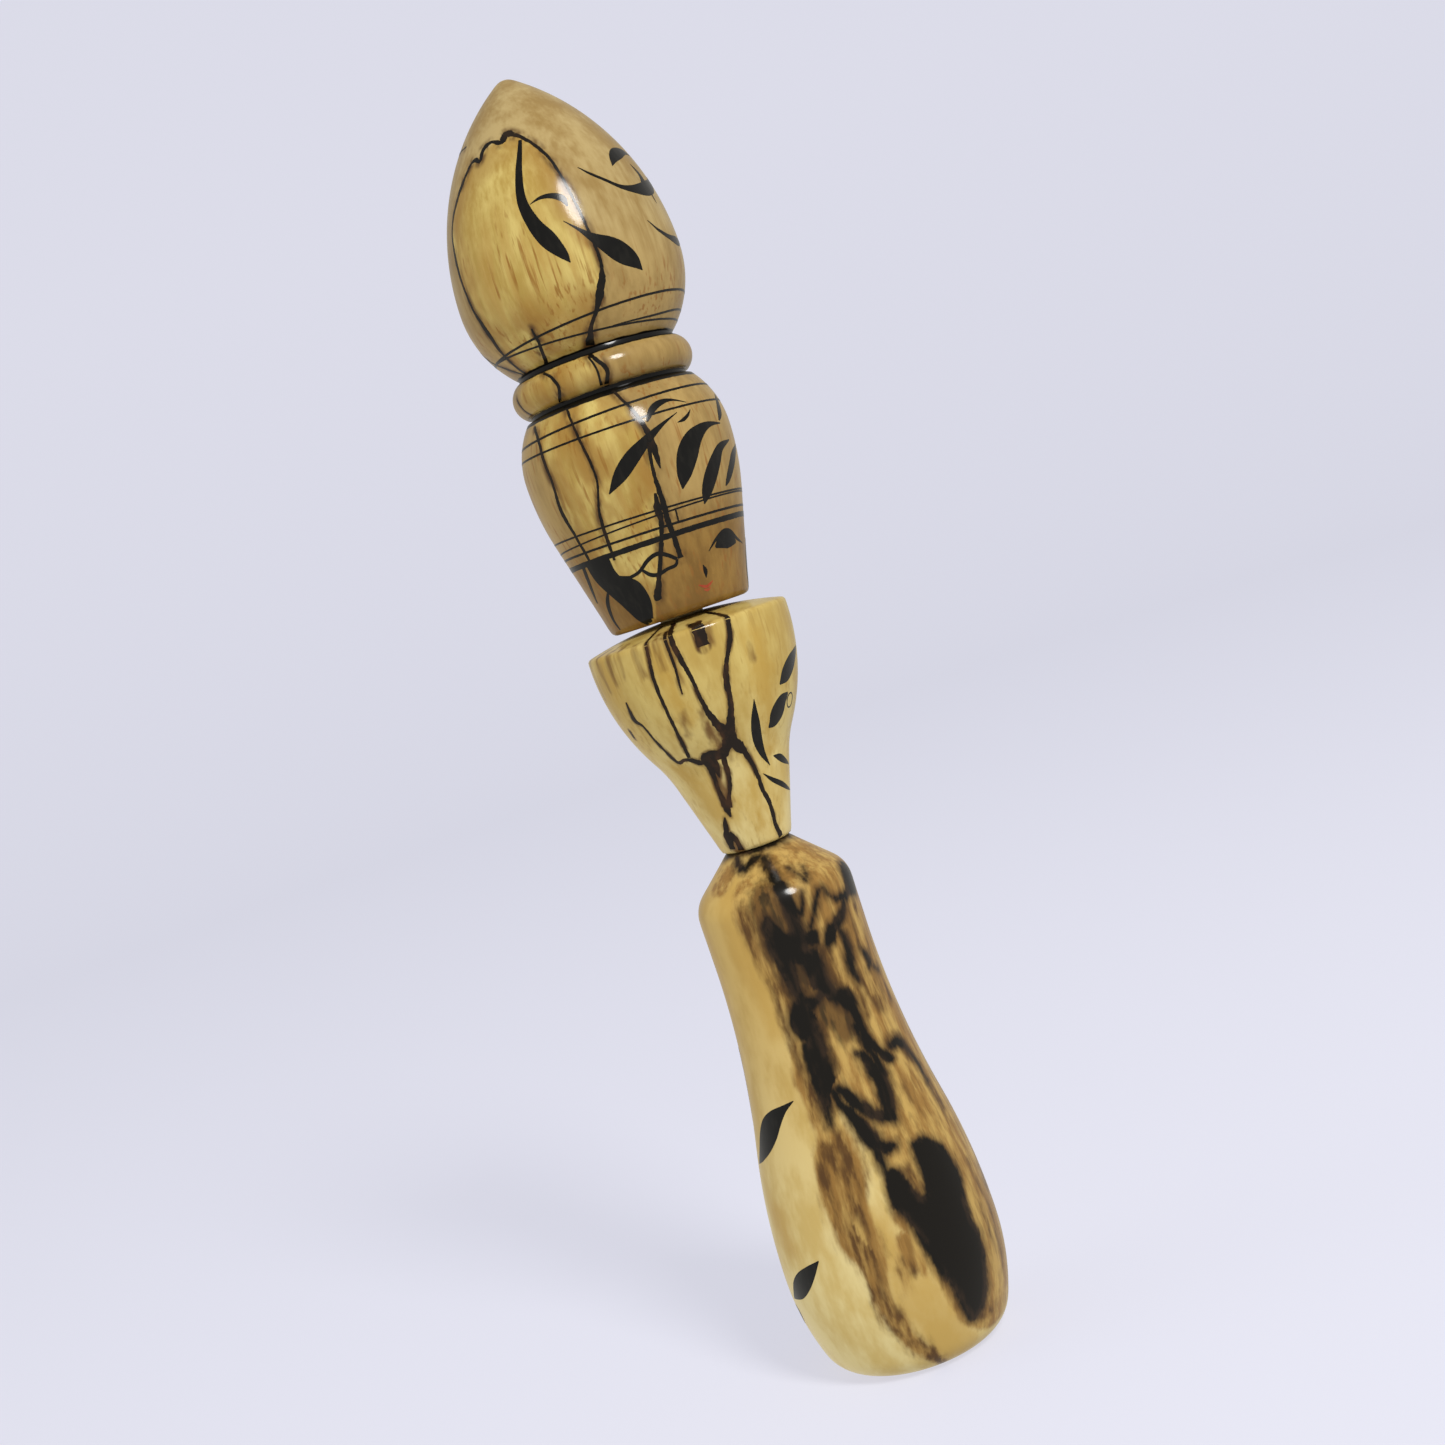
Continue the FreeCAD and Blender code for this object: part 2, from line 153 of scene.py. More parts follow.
# The face, and the hair at its left, mirrored at its right
EYES = [
    [(13, 150.2, .4), (18, 150.7, 2.2), (24, 151, 3.3), (30, 150.6, 2.4), (35, 150, .4)],
    [(7, 149.9, .1), (14, 151.4, .55), (22, 152.5, .6), (29, 152.2, .6), (37, 150.6, .6),
     (47, 149.5, .1)],
    [(-50, 149.8, .6), (-42, 150.3, .6), (-34, 151.7, .7), (-27, 152.2, .75), (-21, 151.4, .7),
     (-16, 150.3, .6)],
    [(-40, 150.4, .5), (-36, 149.2, .7), (-31, 148.8, .7), (-24, 149.2, .6), (-18, 149.4, .6),
     (-16, 150.3, .4)],
]
NOSE = [(.5, 148, .1), (1.5, 146.9, .8), (1, 145.7, .1)]
MOUTH = [
    [(-6, 144.9, .1), (-3, 144.5, .45), (0, 144.2, .6), (3, 144.5, .45), (6, 144.9, .1)],
    [(-3, 143.9, .1), (0, 143.6, .5), (3, 143.9, .1)],
]
HAIR = [
    [(-68, 154.7, 6), (-68, 152, 5.7), (-64.5, 149.6, 4.9), (-59, 147.3, 4.8), (-56, 145, 4),
     (-54, 143, 2.8), (-51, 141.3, 1.4)],
    [(-58, 150, 1.8), (-53, 149.9, 1), (-49, 149.8, .6)],
    [(-57, 149.3, 2), (-50, 148.4, 2.3), (-47.5, 146.6, 2.3), (-47, 144.5, 2), (-49, 142, 1.2)],
    [(-82, 154.4, 1), (-87, 151, 1), (-93, 147.5, .5)],
    [(-73, 148.5, .5), (-80, 146.5, 1), (-84, 144, .8), (-83, 141.8, .4)],
]
HAIR_MIDDLE = 6

# The bust: dark lines, brown stains, golden places, leaves, and a berry (azimuth, height, radius)
BUST_ZONE_LINES = [
    [(-48, 140, .5), (-49, 136, .65), (-51, 131, .7), (-51.5, 125, .65), (-52.5, 120.5, .65),
     (-55, 116.8, .7)],
    [(-34.5, 140, .9), (-33.5, 135.5, 1), (-30.5, 130, .7), (-29.5, 126, .7), (-27, 122.5, 1.2),
     (-22, 119.3, 1.8), (-16, 116.5, 2), (-11, 115, 1.2)],
    [(-37.5, 139, .6), (-37, 133, .5), (-38.5, 128, .3)],
    [(-1, 140, .9), (-3, 135.5, .9), (-9.5, 131, .8), (-12.5, 128, 1.1), (-13, 124.5, .9),
     (-16, 121, 1.6), (-20, 118.3, 2.3), (-25, 116.5, 1.9), (-30, 115.2, 1.2)],
    [(-76, 129.5, .4), (-77.5, 126.1, 1), (-73.5, 124.5, .5), (-71.5, 121.3, .6), (-69, 117.6, .7),
     (-66.5, 116.4, .8), (-60, 116.7, .7), (-54.5, 116.3, .9), (-50, 115.5, 1.1),
     (-46.5, 115.3, 1.1), (-42.5, 116, 1.8), (-37, 116.2, 2), (-30, 115.7, 2), (-25, 116.4, 1.9)],
    [(-43, 115.3, 1.8), (-43.5, 112.5, 1), (-45.5, 109, .8), (-45, 106.3, 1.4), (-45.5, 104.3, .3)],
    [(-38, 115.6, 1.7), (-38, 113.6, 1.3), (-39, 111.8, .2)],
    [(-29, 115.5, 1), (-30, 112, .8), (-34, 109.2, .7), (-38, 107.8, .7), (-42, 106, 1)],
    [(-14, 116.5, 1.6), (-8, 113.4, .8), (-3, 110, .8), (-1, 107.5, .8), (5, 104.5, .8),
     (8, 101.5, .8), (11, 99.5, .9), (17, 97.8, 1)],
    [(-53, 104.5, .3), (-59, 102.4, 1.1), (-64, 100.6, 1.5), (-66, 98.3, 1.2)],
    [(-62, 101, 1.1), (-56, 101, 1.2), (-52.5, 99.5, 1.1), (-53, 97.8, 1)],
    [(-91, 124.3, .6), (-92, 122.8, .6)],
    [(-19, 139, 2.3), (-19, 134.8, 2.3)],
]
BUST_BACK_ZONE_LINES = [
    [(118, 140, .6), (124, 132, .7), (117, 125, .5), (126, 118, .8), (119, 109, .6),
     (127, 101, .5)],
    [(164, 140, .4), (158, 130, .6), (171, 121, .9), (166, 113, .5)],
    [(-126, 139, .5), (-118, 129, .7), (-131, 120, .5), (-124, 111, .6)],
]
BUST_STAINS = [
    [(-103, 139, 1.2), (-101, 131, .8)],
    [(-89, 139, 1.4), (-86, 132, 1)],
    [(-77, 139, 1.3), (-76, 133, .8)],
    [(-68, 139, 1), (-68, 134, .6)],
    [(-43, 139, 1.2), (-43, 133, .8)],
    [(-37, 139, 1.6), (-37, 130, 1)],
    [(-32, 124, 1), (-31, 120, 2), (-29, 117, 1.8), (-24, 114.5, 1)],
    [(-43, 125, .8), (-46, 121, 1.2)],
    [(-13, 138, 1.6), (-14, 135, 1)],
    [(-22, 121, 1.4), (-20, 117, 2.4)],
    [(-56, 138.5, 1), (-55, 133, .8)],
    [(-41, 113.5, 2.4), (-40, 107, 1.6)],
    [(-64, 99.5, 3), (-56, 98, 3)],
    [(7, 132.5, 1), (7, 130, .8)],
    [(150, 138, 2), (158, 124, 3), (150, 110, 2)],
]
BUST_HONEY = [
    [(-70, 115, 4), (-62, 109, 6), (-56, 103, 4)],
    [(12, 134, 4), (12, 124, 5), (14, 114, 4)],
    [(-42, 136, 4), (-42, 124, 4)],
    [(-85, 137, 5), (-80, 130, 4)],
    [(-8, 108.5, 3), (-14, 101, 3)],
    [(100, 134, 6), (110, 120, 6), (104, 108, 4)],
    [(-150, 130, 6), (-158, 116, 5)],
]
BUST_SPRAY = [
    [(24.5, 124, .3), (31, 125.2, 2.9), (39, 126.7, 3.2), (47, 128, 2), (56, 129.3, .1)],
    [(13, 117.4, .3), (17.5, 118.1, 2.5), (22, 119.5, 3.7), (27, 121, 2.9), (34, 122, .5)],
    [(2, 123.2, .1), (1, 119.5, 1.7), (2, 116.3, 1.9), (6, 113.4, 1.2), (13, 110.8, .1)],
    [(19, 112.2, .2), (28, 111.5, 1.3), (38, 110.5, 1.1), (52, 109.4, .1)],
    [(3, 109.9, .1), (14, 108.2, .8), (28, 106.8, 1), (42, 105.6, .7), (56, 104.8, .1)],
]
BUST_MIDDLE = 62
BUST_BERRY = (38, 120.6, 1.2)
BERRY_LINE = 0.25

# The body: black masses as outlines and strokes, the black seam under the bust as a drawn ring
# (partly the dark joint and partly painted shade under the bust's rim), the brown round them,
# golden places, the stained side's outlines, and leaves on the pale side
BODY_BLACK_OUTLINES = [
    [(-38, 86), (-33, 86.6), (-28, 84.3), (-24, 83), (-24, 86.5), (-25, 91), (-29, 95.5),
     (-17, 95.5), (-15, 92), (-13, 88.5), (-13.5, 84.5), (-12, 81.5), (-7, 81.8), (-4, 80.5),
     (-6, 78.8), (-13, 79), (-14, 77), (-20, 76), (-28, 76.5), (-30, 74), (-33, 73.5),
     (-38, 75.5), (-42, 79), (-41, 83)],
    [(-17, 36.6), (-13, 38.3), (-9, 37.6), (-6, 35.5), (-1, 32), (2, 34), (3, 40), (8, 41),
     (15, 40.6), (20, 39), (24, 36), (26.5, 32), (24, 25), (25, 20), (21, 11), (15, 8.2),
     (10, 6.8), (5, 7), (2, 9), (-1, 12.5), (-5, 17.5), (-9, 22), (-13, 28), (-18, 32)],
    [(34, 86), (38, 88.5), (46, 89.5), (58, 89), (60, 85), (48, 83.5), (38, 84), (30, 84.2)],
]
BODY_BLACK = [
    [(-33, 77, 4), (-32, 73, 2.4), (-30, 71, 2.4), (-32, 68.5, 4.4), (-34, 66, 5), (-31, 63.5, 4),
     (-32, 61, 5), (-32, 57, 5), (-33, 54, 3.8), (-36, 51.5, 2), (-37, 48.5, 1)],
    [(-16, 77, 4), (-14, 74, 3.6), (-13, 71.5, 4.2), (-7, 69.5, 3.4), (-1, 68, 3.4), (3, 65.5, 2.6),
     (3, 62, 2), (7, 58.5, 1.7), (13, 55.7, 1.7), (18, 55, .6)],
    [(-27, 69.5, 3), (-21, 69.5, 2.4), (-15, 70.5, 2)],
    [(-7, 58.5, .6), (-3, 57.5, 1.8), (0, 55, 2.8), (3, 52.5, 3.4), (2, 49, 3.4), (0, 46.5, 3)],
    [(-1, 63, 1.4), (2, 59.5, 1.2), (5, 56, 1.6), (6, 53, 2)],
    [(-25, 54, 1.4), (-21, 52.2, 1.8), (-16, 50, 2.2), (-11, 48, 2.4), (-6, 47, 2.4), (0, 46, 2)],
    [(-30, 54, 1), (-27, 51.5, 1.4), (-23, 49, 1.8), (-19, 46.5, 2.4), (-16, 44, 2.8),
     (-12, 42, 2.8), (-6, 41.6, 1.6)],
    [(-15, 42, 2), (-15.5, 39, 1.2), (-15, 37, .8)],
    [(-16, 86.8, .8), (-12, 85.2, 1), (-8.5, 86.4, .8), (-6, 88.4, .6)],
    [(-8, 82, .8), (-3, 84, .9), (3, 86.5, 1), (9, 87.8, 1), (14, 86, 1), (20, 84.9, 1.2),
     (32, 84.6, 1.8)],
    [(27, 84, 1.4), (22, 82.3, 1.8), (15, 81.2, 2.4), (8, 80.2, 2.8), (3, 79, 2.4), (-1, 78.2, 1)],
    [(12, 80, 1), (16, 77.5, 1.7), (15, 74.5, 2.2), (13, 72.2, 1.8), (15, 70, 1)],
    [(27, 75, .7), (31, 73.6, 1.6), (33, 72, 1.6), (30, 71, .9)],
    [(37, 70.5, .8), (42, 69.5, 1.3)],
    [(-4, 92.6, .5), (0, 91, .7), (2, 90.2, .7), (5, 91, .7), (8, 92, .5)],
    # A dark band just under the bust: partly black wood, partly painted shade under its rim
    [(-66, 97, 1.4), (-58, 95.3, 1.6), (-48, 94.7, 1.2), (-42, 95.4, 1.4), (-30, 95.8, 1.6)],
    [(22, 57, 2), (29, 56.8, 2.2), (37, 54, 1.6), (41, 48, 1)],
]
# A black ring all round just under the bust: partly the dark joint, partly painted shade under the
# bust's rim
BODY_SEAM_AND_SHADE = (97.2, 0, 0, 1.5)
BODY_BACK_BLACK = [
    [(96, 92, 1), (88, 84, 2.6), (95, 74, 3.6), (87, 64, 2.4), (92, 52, 3.6), (86, 40, 4.6),
     (91, 27, 3), (86, 16, 1.2)],
    [(70, 60, .8), (66, 48, 1.6), (72, 36, 1.8), (66, 24, .8)],
    [(-150, 90, .8), (-143, 78, 1), (-152, 64, 1.3), (-146, 50, .9)],
]
BODY_DEEP_OUTLINES = [
    [(-46, 89.5), (-36, 92), (-24, 91), (-17, 87), (-9, 81), (-4, 77), (0, 70), (3, 66), (-2, 62),
     (-9, 60.5), (-15, 61.5), (-20, 63.5), (-24, 60), (-26, 54), (-35, 50), (-38, 60), (-39, 70),
     (-43, 77), (-45, 84)],
]
BODY_BROWN = [
    [(-52, 88, 3), (-49, 82, 4), (-45, 76, 3), (-42, 70, 2.4), (-43, 60, 2.4), (-43, 50, 2)],
    [(-4, 77, 2), (-3, 73, 3), (4, 69.5, 2.4)],
    [(12, 79, 3), (16, 74, 4.5), (20, 69, 2.6), (24, 64, 1)],
    [(-42, 44, 4), (-45, 38, 5), (-46, 32, 4.6), (-45, 28, 4), (-38, 24.5, 4.4)],
    [(-32, 46, 2.6), (-31, 41, 4), (-33, 36, 4.6), (-34, 32.5, 2.6)],
    [(-37, 34, 1.6), (-32, 29.5, 1.5), (-30, 25, 1.2)],
    [(-40, 23, 3.4), (-38, 16, 3), (-34, 11, 3.4), (-28, 6.5, 3.2), (-21, 3, 2.6), (-16, 1.2, 2)],
    [(22, 58, 2), (32, 56, 3), (40, 50, 1.7), (43, 38, 1.4)],
    [(15, 52, .8), (17, 47, 1.2), (21, 42, 1.5)],
    [(-4, 37, 1.6), (-1, 33.5, 2)],
    [(30, 35, 1), (33, 25, 1.4), (33, 12, 1.2)],
    [(40, 32, 1.4), (42, 22, 1.4), (40, 12, 1.2)],
    [(52, 29.5, 1.6), (54, 26, 2)],
    [(38, 82, 1.4), (42, 74, 2), (44, 64, 1.6)],
    [(25, 83, 2.2), (28, 77, 3), (27, 71, 2.4), (31, 64, 1.6)],
    [(6, 76, 1.6), (9, 70, 2), (12, 64, 1.4)],
    [(-22, 22.6, 1), (-19.5, 20.5, 1)],
    [(-25, 21, 1), (-25.5, 17, 1)],
    [(14, 7, 2.4), (22, 6.4, 2.4)],
    [(92, 88, 4), (92, 66, 6), (90, 44, 8), (90, 24, 6), (88, 12, 2)],
]
BODY_HONEY = [
    [(-30, 33, 3), (-26, 22, 5), (-19, 14, 8), (-8, 6, 8), (2, 2, 5)],
    [(-66, 93, 3), (-60, 84, 5), (-56, 76, 4), (-57, 66, 2)],
    [(-88, 33, 4), (-84, 28, 3)],
    [(-128, 74, 8), (-136, 62, 6)],
]
BODY_STAIN_OUTLINES = [
    [(-50, 94), (-60, 90), (-62, 88), (-56, 82), (-47, 76.5), (-43, 72), (-45, 65), (-51, 61),
     (-53, 57), (-47, 51), (-46, 46), (-52, 43), (-52, 30), (-49, 26.5), (-44, 24), (-42, 18),
     (-38, 11), (-32, 6), (-22, 1.5), (-15, 1.5), (-24, 6), (-29, 12), (-31, 18), (-28, 24),
     (-29, 30), (-27, 37), (-27, 44), (-29, 50), (-26, 52), (-20, 46), (-15, 38.5), (-19, 30),
     (-12, 22), (-6, 13), (0, 7), (12, 4), (30, 3), (60, 5), (80, 3), (104, 10), (112, 30),
     (106, 55), (112, 78), (104, 92), (80, 96), (10, 96.5), (-30, 96.5)],
    [(-21, 27), (-13, 27), (-10, 22), (-14, 19), (-20, 21), (-25, 16), (-27, 20), (-24, 24)],
    [(-104, 95.5), (-90, 92), (-70, 91.5), (-62, 95.5)],
]
BODY_SPRAY = [
    [(-56, 53.8, .15), (-65, 52.6, 1.4), (-74, 51, 3.4), (-82, 49, 4.8), (-90, 46.5, 4.4),
     (-98, 44, 2.4), (-106, 42, .2)],
    [(-65, 25.7, .2), (-73, 23.6, 2.4), (-81, 21.6, 3.7), (-89, 19.6, 3.5), (-96, 18, 1.6),
     (-101, 17, .2)],
    [(-108, 15, .2), (-104, 14, 1.4), (-106, 12, 1.2), (-110, 11, .2)],
    [(-113, 63, .1), (-118, 58, 1.8), (-120, 52, 2.4), (-122, 44, .1)],
]
BODY_MIDDLE = -128
BODY_STEM = [(-128, 68, .2), (-127, 55, .6), (-129, 40, .8), (-128, 25, .8), (-128, 10, .5)]


def spline(points, step, closed=False):
    """The points of a stroke, joined by a Catmull-Rom curve and cut into steps of about that length."""
    rows = np.array(points, dtype=float)
    last = len(rows) if closed else len(rows) - 1
    path = []
    for i in range(last):
        if closed:
            before, start, end, after = (rows[(i + k) % len(rows)] for k in (-1, 0, 1, 2))
        else:
            start, end = rows[i], rows[i + 1]
            before = rows[i - 1] if i else 2 * start - end
            after = rows[i + 2] if i + 2 < len(rows) else 2 * end - start
        across = math.radians(end[0] - start[0]) * MEAN_RADIUS
        pieces = max(2, round(math.hypot(across, end[1] - start[1]) / step))
        for k in range(pieces):
            t = k / pieces
            path.append(0.5 * (2 * start + (end - before) * t
                               + (2 * before - 5 * start + 4 * end - after) * t * t
                               + (3 * start - before - 3 * end + after) * t ** 3))
    if not closed:
        path.append(rows[-1])
    return np.array(path)


def half_outline(node):
    """A turned CAD block's half outline: its seam, from axis to axis, as (radius, height) rows."""
    mesh = node.data
    places = {}
    for vertex in mesh.vertices:
        x, y, z = (node.matrix_world @ vertex.co) / METRES
        if abs(y) < SEAM_SLACK and x > -SEAM_SLACK:
            places[vertex.index] = (round(x, 3) + 0.0, round(z, 3))
    links = {}
    for edge in mesh.edges:
        a, b = (places.get(v) for v in edge.vertices)
        if a and b and a != b:
            links.setdefault(a, set()).add(b)
            links.setdefault(b, set()).add(a)
    ends = sorted((p for p in links if len(links[p]) == 1), key=lambda p: p[1])
    chain = [ends[0]]
    seen = {ends[0]}
    while True:
        onward = [p for p in links[chain[-1]] if p not in seen]
        if not onward:
            break
        chain.append(onward[0])
        seen.add(onward[0])
    if chain[0][0] > 0:
        chain.insert(0, (0.0, chain[0][1]))
    if chain[-1][0] > 0:
        chain.append((0.0, chain[-1][1]))
    return np.array(chain)


def smooth_run(points):
    """A run of the outline without corners, resampled on a smooth curve through its points."""
    gaps = np.linalg.norm(np.diff(points, axis=0), axis=1)
    along = np.concatenate([[0], np.cumsum(gaps)])
    slopes = np.diff(points, axis=0) / gaps[:, None]
    tangents = np.empty_like(points)
    tangents[0] = slopes[0]
    tangents[-1] = slopes[-1]
    weights = (gaps[:-1] + gaps[1:])[:, None]
    tangents[1:-1] = (slopes[:-1] * gaps[1:, None] + slopes[1:] * gaps[:-1, None]) / weights
    row = BORE_ROW if points[:, 0].max() < BORE_LIMIT else ROW
    count = max(1, math.ceil(along[-1] / row))
    places = np.linspace(0, along[-1], count + 1)
    i = np.clip(np.searchsorted(along, places, side="right") - 1, 0, len(gaps) - 1)
    h = gaps[i][:, None]
    t = ((places - along[i]) / gaps[i])[:, None]
    return ((2 * t ** 3 - 3 * t ** 2 + 1) * points[i] + (t ** 3 - 2 * t ** 2 + t) * h * tangents[i]
            + (3 * t ** 2 - 2 * t ** 3) * points[i + 1] + (t ** 3 - t ** 2) * h * tangents[i + 1])


def smooth_outline(points):
    """The half outline with its corners kept and the curves between them made smooth.

    No curve goes past the outline's own lowest, highest or widest place.
    """
    steps = np.diff(points, axis=0)
    angles = np.arctan2(steps[:, 1], steps[:, 0])
    turns = np.abs((np.diff(angles) + math.pi) % (2 * math.pi) - math.pi)
    corners = [0] + [i + 1 for i in range(len(turns)) if turns[i] > CORNER] + [len(points) - 1]
    runs = [smooth_run(points[a:b + 1]) for a, b in zip(corners, corners[1:])]
    outline = np.vstack([runs[0]] + [run[1:] for run in runs[1:]])
    return np.clip(outline, points.min(axis=0), points.max(axis=0))


class Surface:
    """The outside of a turned block, by azimuth and height."""

    def __init__(self, outline):
        outer = outline[outline[:, 0] > BORE_LIMIT]
        order = np.argsort(outer[:, 1], kind="stable")
        self.heights = outer[order, 1]
        self.radii = outer[order, 0]

    def radius(self, z):
        return float(np.interp(z, self.heights, self.radii))

    def point(self, azimuth, z, lift=0.0):
        """The place on the surface, lifted along the surface's normal."""
        slope = (self.radius(z + SLOPE_REACH) - self.radius(z - SLOPE_REACH)) / (2 * SLOPE_REACH)
        tilt = math.atan(-slope)
        r = self.radius(z) + lift * math.cos(tilt)
        a = math.radians(azimuth)
        return Vector((r * math.sin(a), -r * math.cos(a), z + lift * math.sin(tilt)))

    def normal(self, azimuth, z):
        return (self.point(azimuth, z, 1) - self.point(azimuth, z)).normalized()


def mesh_piece(name, vertices, faces, body, material):
    """A named mesh from vertices in millimetres, smooth but for its sharp edges."""
    mesh = bpy.data.meshes.new(name)
    mesh.from_pydata([tuple(c * METRES for c in v) for v in vertices], [], faces)
    mesh.validate()
    mesh.update()
    mesh.shade_smooth()
    mesh.set_sharp_from_angle(angle=SHARP_EDGE)
    piece = bpy.data.objects.new(name, mesh)
    bpy.context.scene.collection.objects.link(piece)
    mesh.materials.append(material)
    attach(piece, body)
    return piece


def turned_faces(outline):
    """Rings of vertices for the half outline turned about the axis, and the faces between them."""
    vertices = []
    rings = []
    for r, z in outline:
        if r < SEAM_SLACK:
            rings.append([len(vertices)] * SIDES)
            vertices.append(Vector((0, 0, z)))
            continue
        rings.append(range(len(vertices), len(vertices) + SIDES))
        for k in range(SIDES):
            a = 2 * math.pi * k / SIDES
            vertices.append(Vector((r * math.cos(a), r * math.sin(a), z)))
    faces = []
    for low, high in zip(rings, rings[1:]):
        for k in range(SIDES):
            n = (k + 1) % SIDES
            corners = dict.fromkeys((low[k], low[n], high[n], high[k]))
            faces.append(tuple(corners))
    return vertices, faces


def nearest(places):
    """A search tree of these places."""
    tree = kdtree.KDTree(len(places))
    for i, place in enumerate(places):
        tree.insert(place, i)
    tree.balance()
    return tree


def stroke_distances(vertices, strokes, surface):
    """Each vertex's distance to the edge of the nearest stroke, negative inside it."""
    spots = [spot for stroke in strokes for spot in spline(stroke, FIELD_STEP)]
    tree = nearest([surface.point(azimuth, z) for azimuth, z, _ in spots])
    halves = [width / 2 for _, _, width in spots]
    return np.array([min(gap - halves[i] for _, i, gap in tree.find_n(place, NEIGHBOURS))
                     for place in vertices])


def outline_distances(vertices, outline, surface):
    """Each vertex's distance to a closed outline, negative inside it."""
    ring = spline([(a, z, 0) for a, z in outline], OUTLINE_STEP, closed=True)[:, :2]
    tree = nearest([surface.point(azimuth, z) for azimuth, z in ring])
    x0, y0 = ring[:, 0], ring[:, 1]
    x1, y1 = np.roll(x0, -1), np.roll(y0, -1)
    distances = []
    for place in vertices:
        azimuth = math.degrees(math.atan2(place.x, -place.y))
        crossed = (y0 > place.z) != (y1 > place.z)
        along = (place.z - y0[crossed]) / (y1[crossed] - y0[crossed])
        hits = azimuth < x0[crossed] + along * (x1[crossed] - x0[crossed])
        gap = tree.find(place)[2]
        distances.append(-gap if np.count_nonzero(hits) % 2 else gap)
    return np.array(distances)


def add_field(piece, name, surface, strokes=(), outlines=()):
    """Gives each vertex its distance in millimetres to the nearest of these strokes and outlines."""
    vertices = [vertex.co / METRES for vertex in piece.data.vertices]
    layers = [outline_distances(vertices, outline, surface) for outline in outlines]
    if strokes:
        layers.append(stroke_distances(vertices, strokes, surface))
    field = piece.data.attributes.new(name, "FLOAT", "POINT")
    field.data.foreach_set("value", np.minimum.reduce(layers))


def evenly(path, surface):
    """The places of a fine path that lie a step apart on the surface, with its two ends."""
    kept = [path[0]]
    for place in path[1:-1]:
        gap = surface.point(*place[:2]) - surface.point(*kept[-1][:2])
        if gap.length >= INK_STEP:
            kept.append(place)
    return np.array(kept + [path[-1]])


def ribbon_faces(count, size, closed):
    """The faces between a ribbon's cross-sections, each of that size, with caps on open ends."""
    faces = []
    for i in range(count if closed else count - 1):
        here = i * size
        there = (i + 1) % count * size
        for k in range(size):
            n = (k + 1) % size
            faces.append((here + k, here + n, there + n, there + k))
    if not closed:
        faces.append(tuple(range(size))[::-1])
        faces.append(tuple(range((count - 1) * size, count * size)))
    return faces


def ribbon(points, surface, ragged, closed):
    """Vertices and faces of one stroke: a thin closed solid along the surface.

    A closed stroke's last point is its first one again, after a turn.
    """
    path = evenly(spline(points, INK_STEP / 6), surface)
    if closed:
        path = path[:-1]
    count = len(path)
    middle = [surface.point(a, z) for a, z, _ in path]
    lanes = max(2, math.ceil(max(w for _, _, w in path) / INK_LANE))
    vertices = []
    for i, (azimuth, z, width) in enumerate(path):
        after = middle[(i + 1) % count] if closed or i + 1 < count else middle[i]
        before = middle[i - 1] if closed or i else middle[i]
        side = surface.normal(azimuth, z).cross(after - before).normalized()
        drift = ragged * RAGGED_DRIFT * noise.noise(middle[i] * 0.8)
        width = max(FINEST_INK, width) * (1 + ragged * RAGGED_WIDTH * noise.noise(middle[i] * 1.7))
        rows = ([], [])
        for lane in range(lanes + 1):
            place = middle[i] + side * (width * (lane / lanes - 0.5) + drift * width)
            a = math.degrees(math.atan2(place.x, -place.y))
            rows[0].append(surface.point(a, place.z, PROUD))
            rows[1].append(surface.point(a, place.z, -SUNK))
        vertices += rows[0] + rows[1][::-1]
    return vertices, ribbon_faces(count, 2 * (lanes + 1), closed)


def painted(name, strokes, surface, body, material, ragged=0.0, closed=False):
    """One piece made of all these strokes."""
    vertices = []
    faces = []
    for stroke in strokes:
        more, panels = ribbon(stroke, surface, ragged, closed)
        faces += [tuple(v + len(vertices) for v in panel) for panel in panels]
        vertices += more
    return mesh_piece(name, vertices, faces, body, material)


def mirrored(strokes, middle):
    """The same strokes on the other side of that azimuth."""
    return [[(2 * middle - a, z, w) for a, z, w in stroke] for stroke in strokes]


def both_sides(strokes, middle):
    return strokes + mirrored(strokes, middle)


def drawn_ring(height, tilt, high_side, width):
    """A ring round the block that rises a little towards one side."""
    return [(a, height + tilt * math.cos(math.radians(a - high_side)), width)
            for a in range(0, 361, RING_STEP)]


def loop(azimuth, z, radius, width, surface):
    """A small ring drawn on the surface."""
    reach = math.degrees(radius / surface.radius(z))
    return [(azimuth + reach * math.cos(t), z + radius * math.sin(t), width)
            for t in (2 * math.pi * k / LOOP_PARTS for k in range(LOOP_PARTS + 1))]


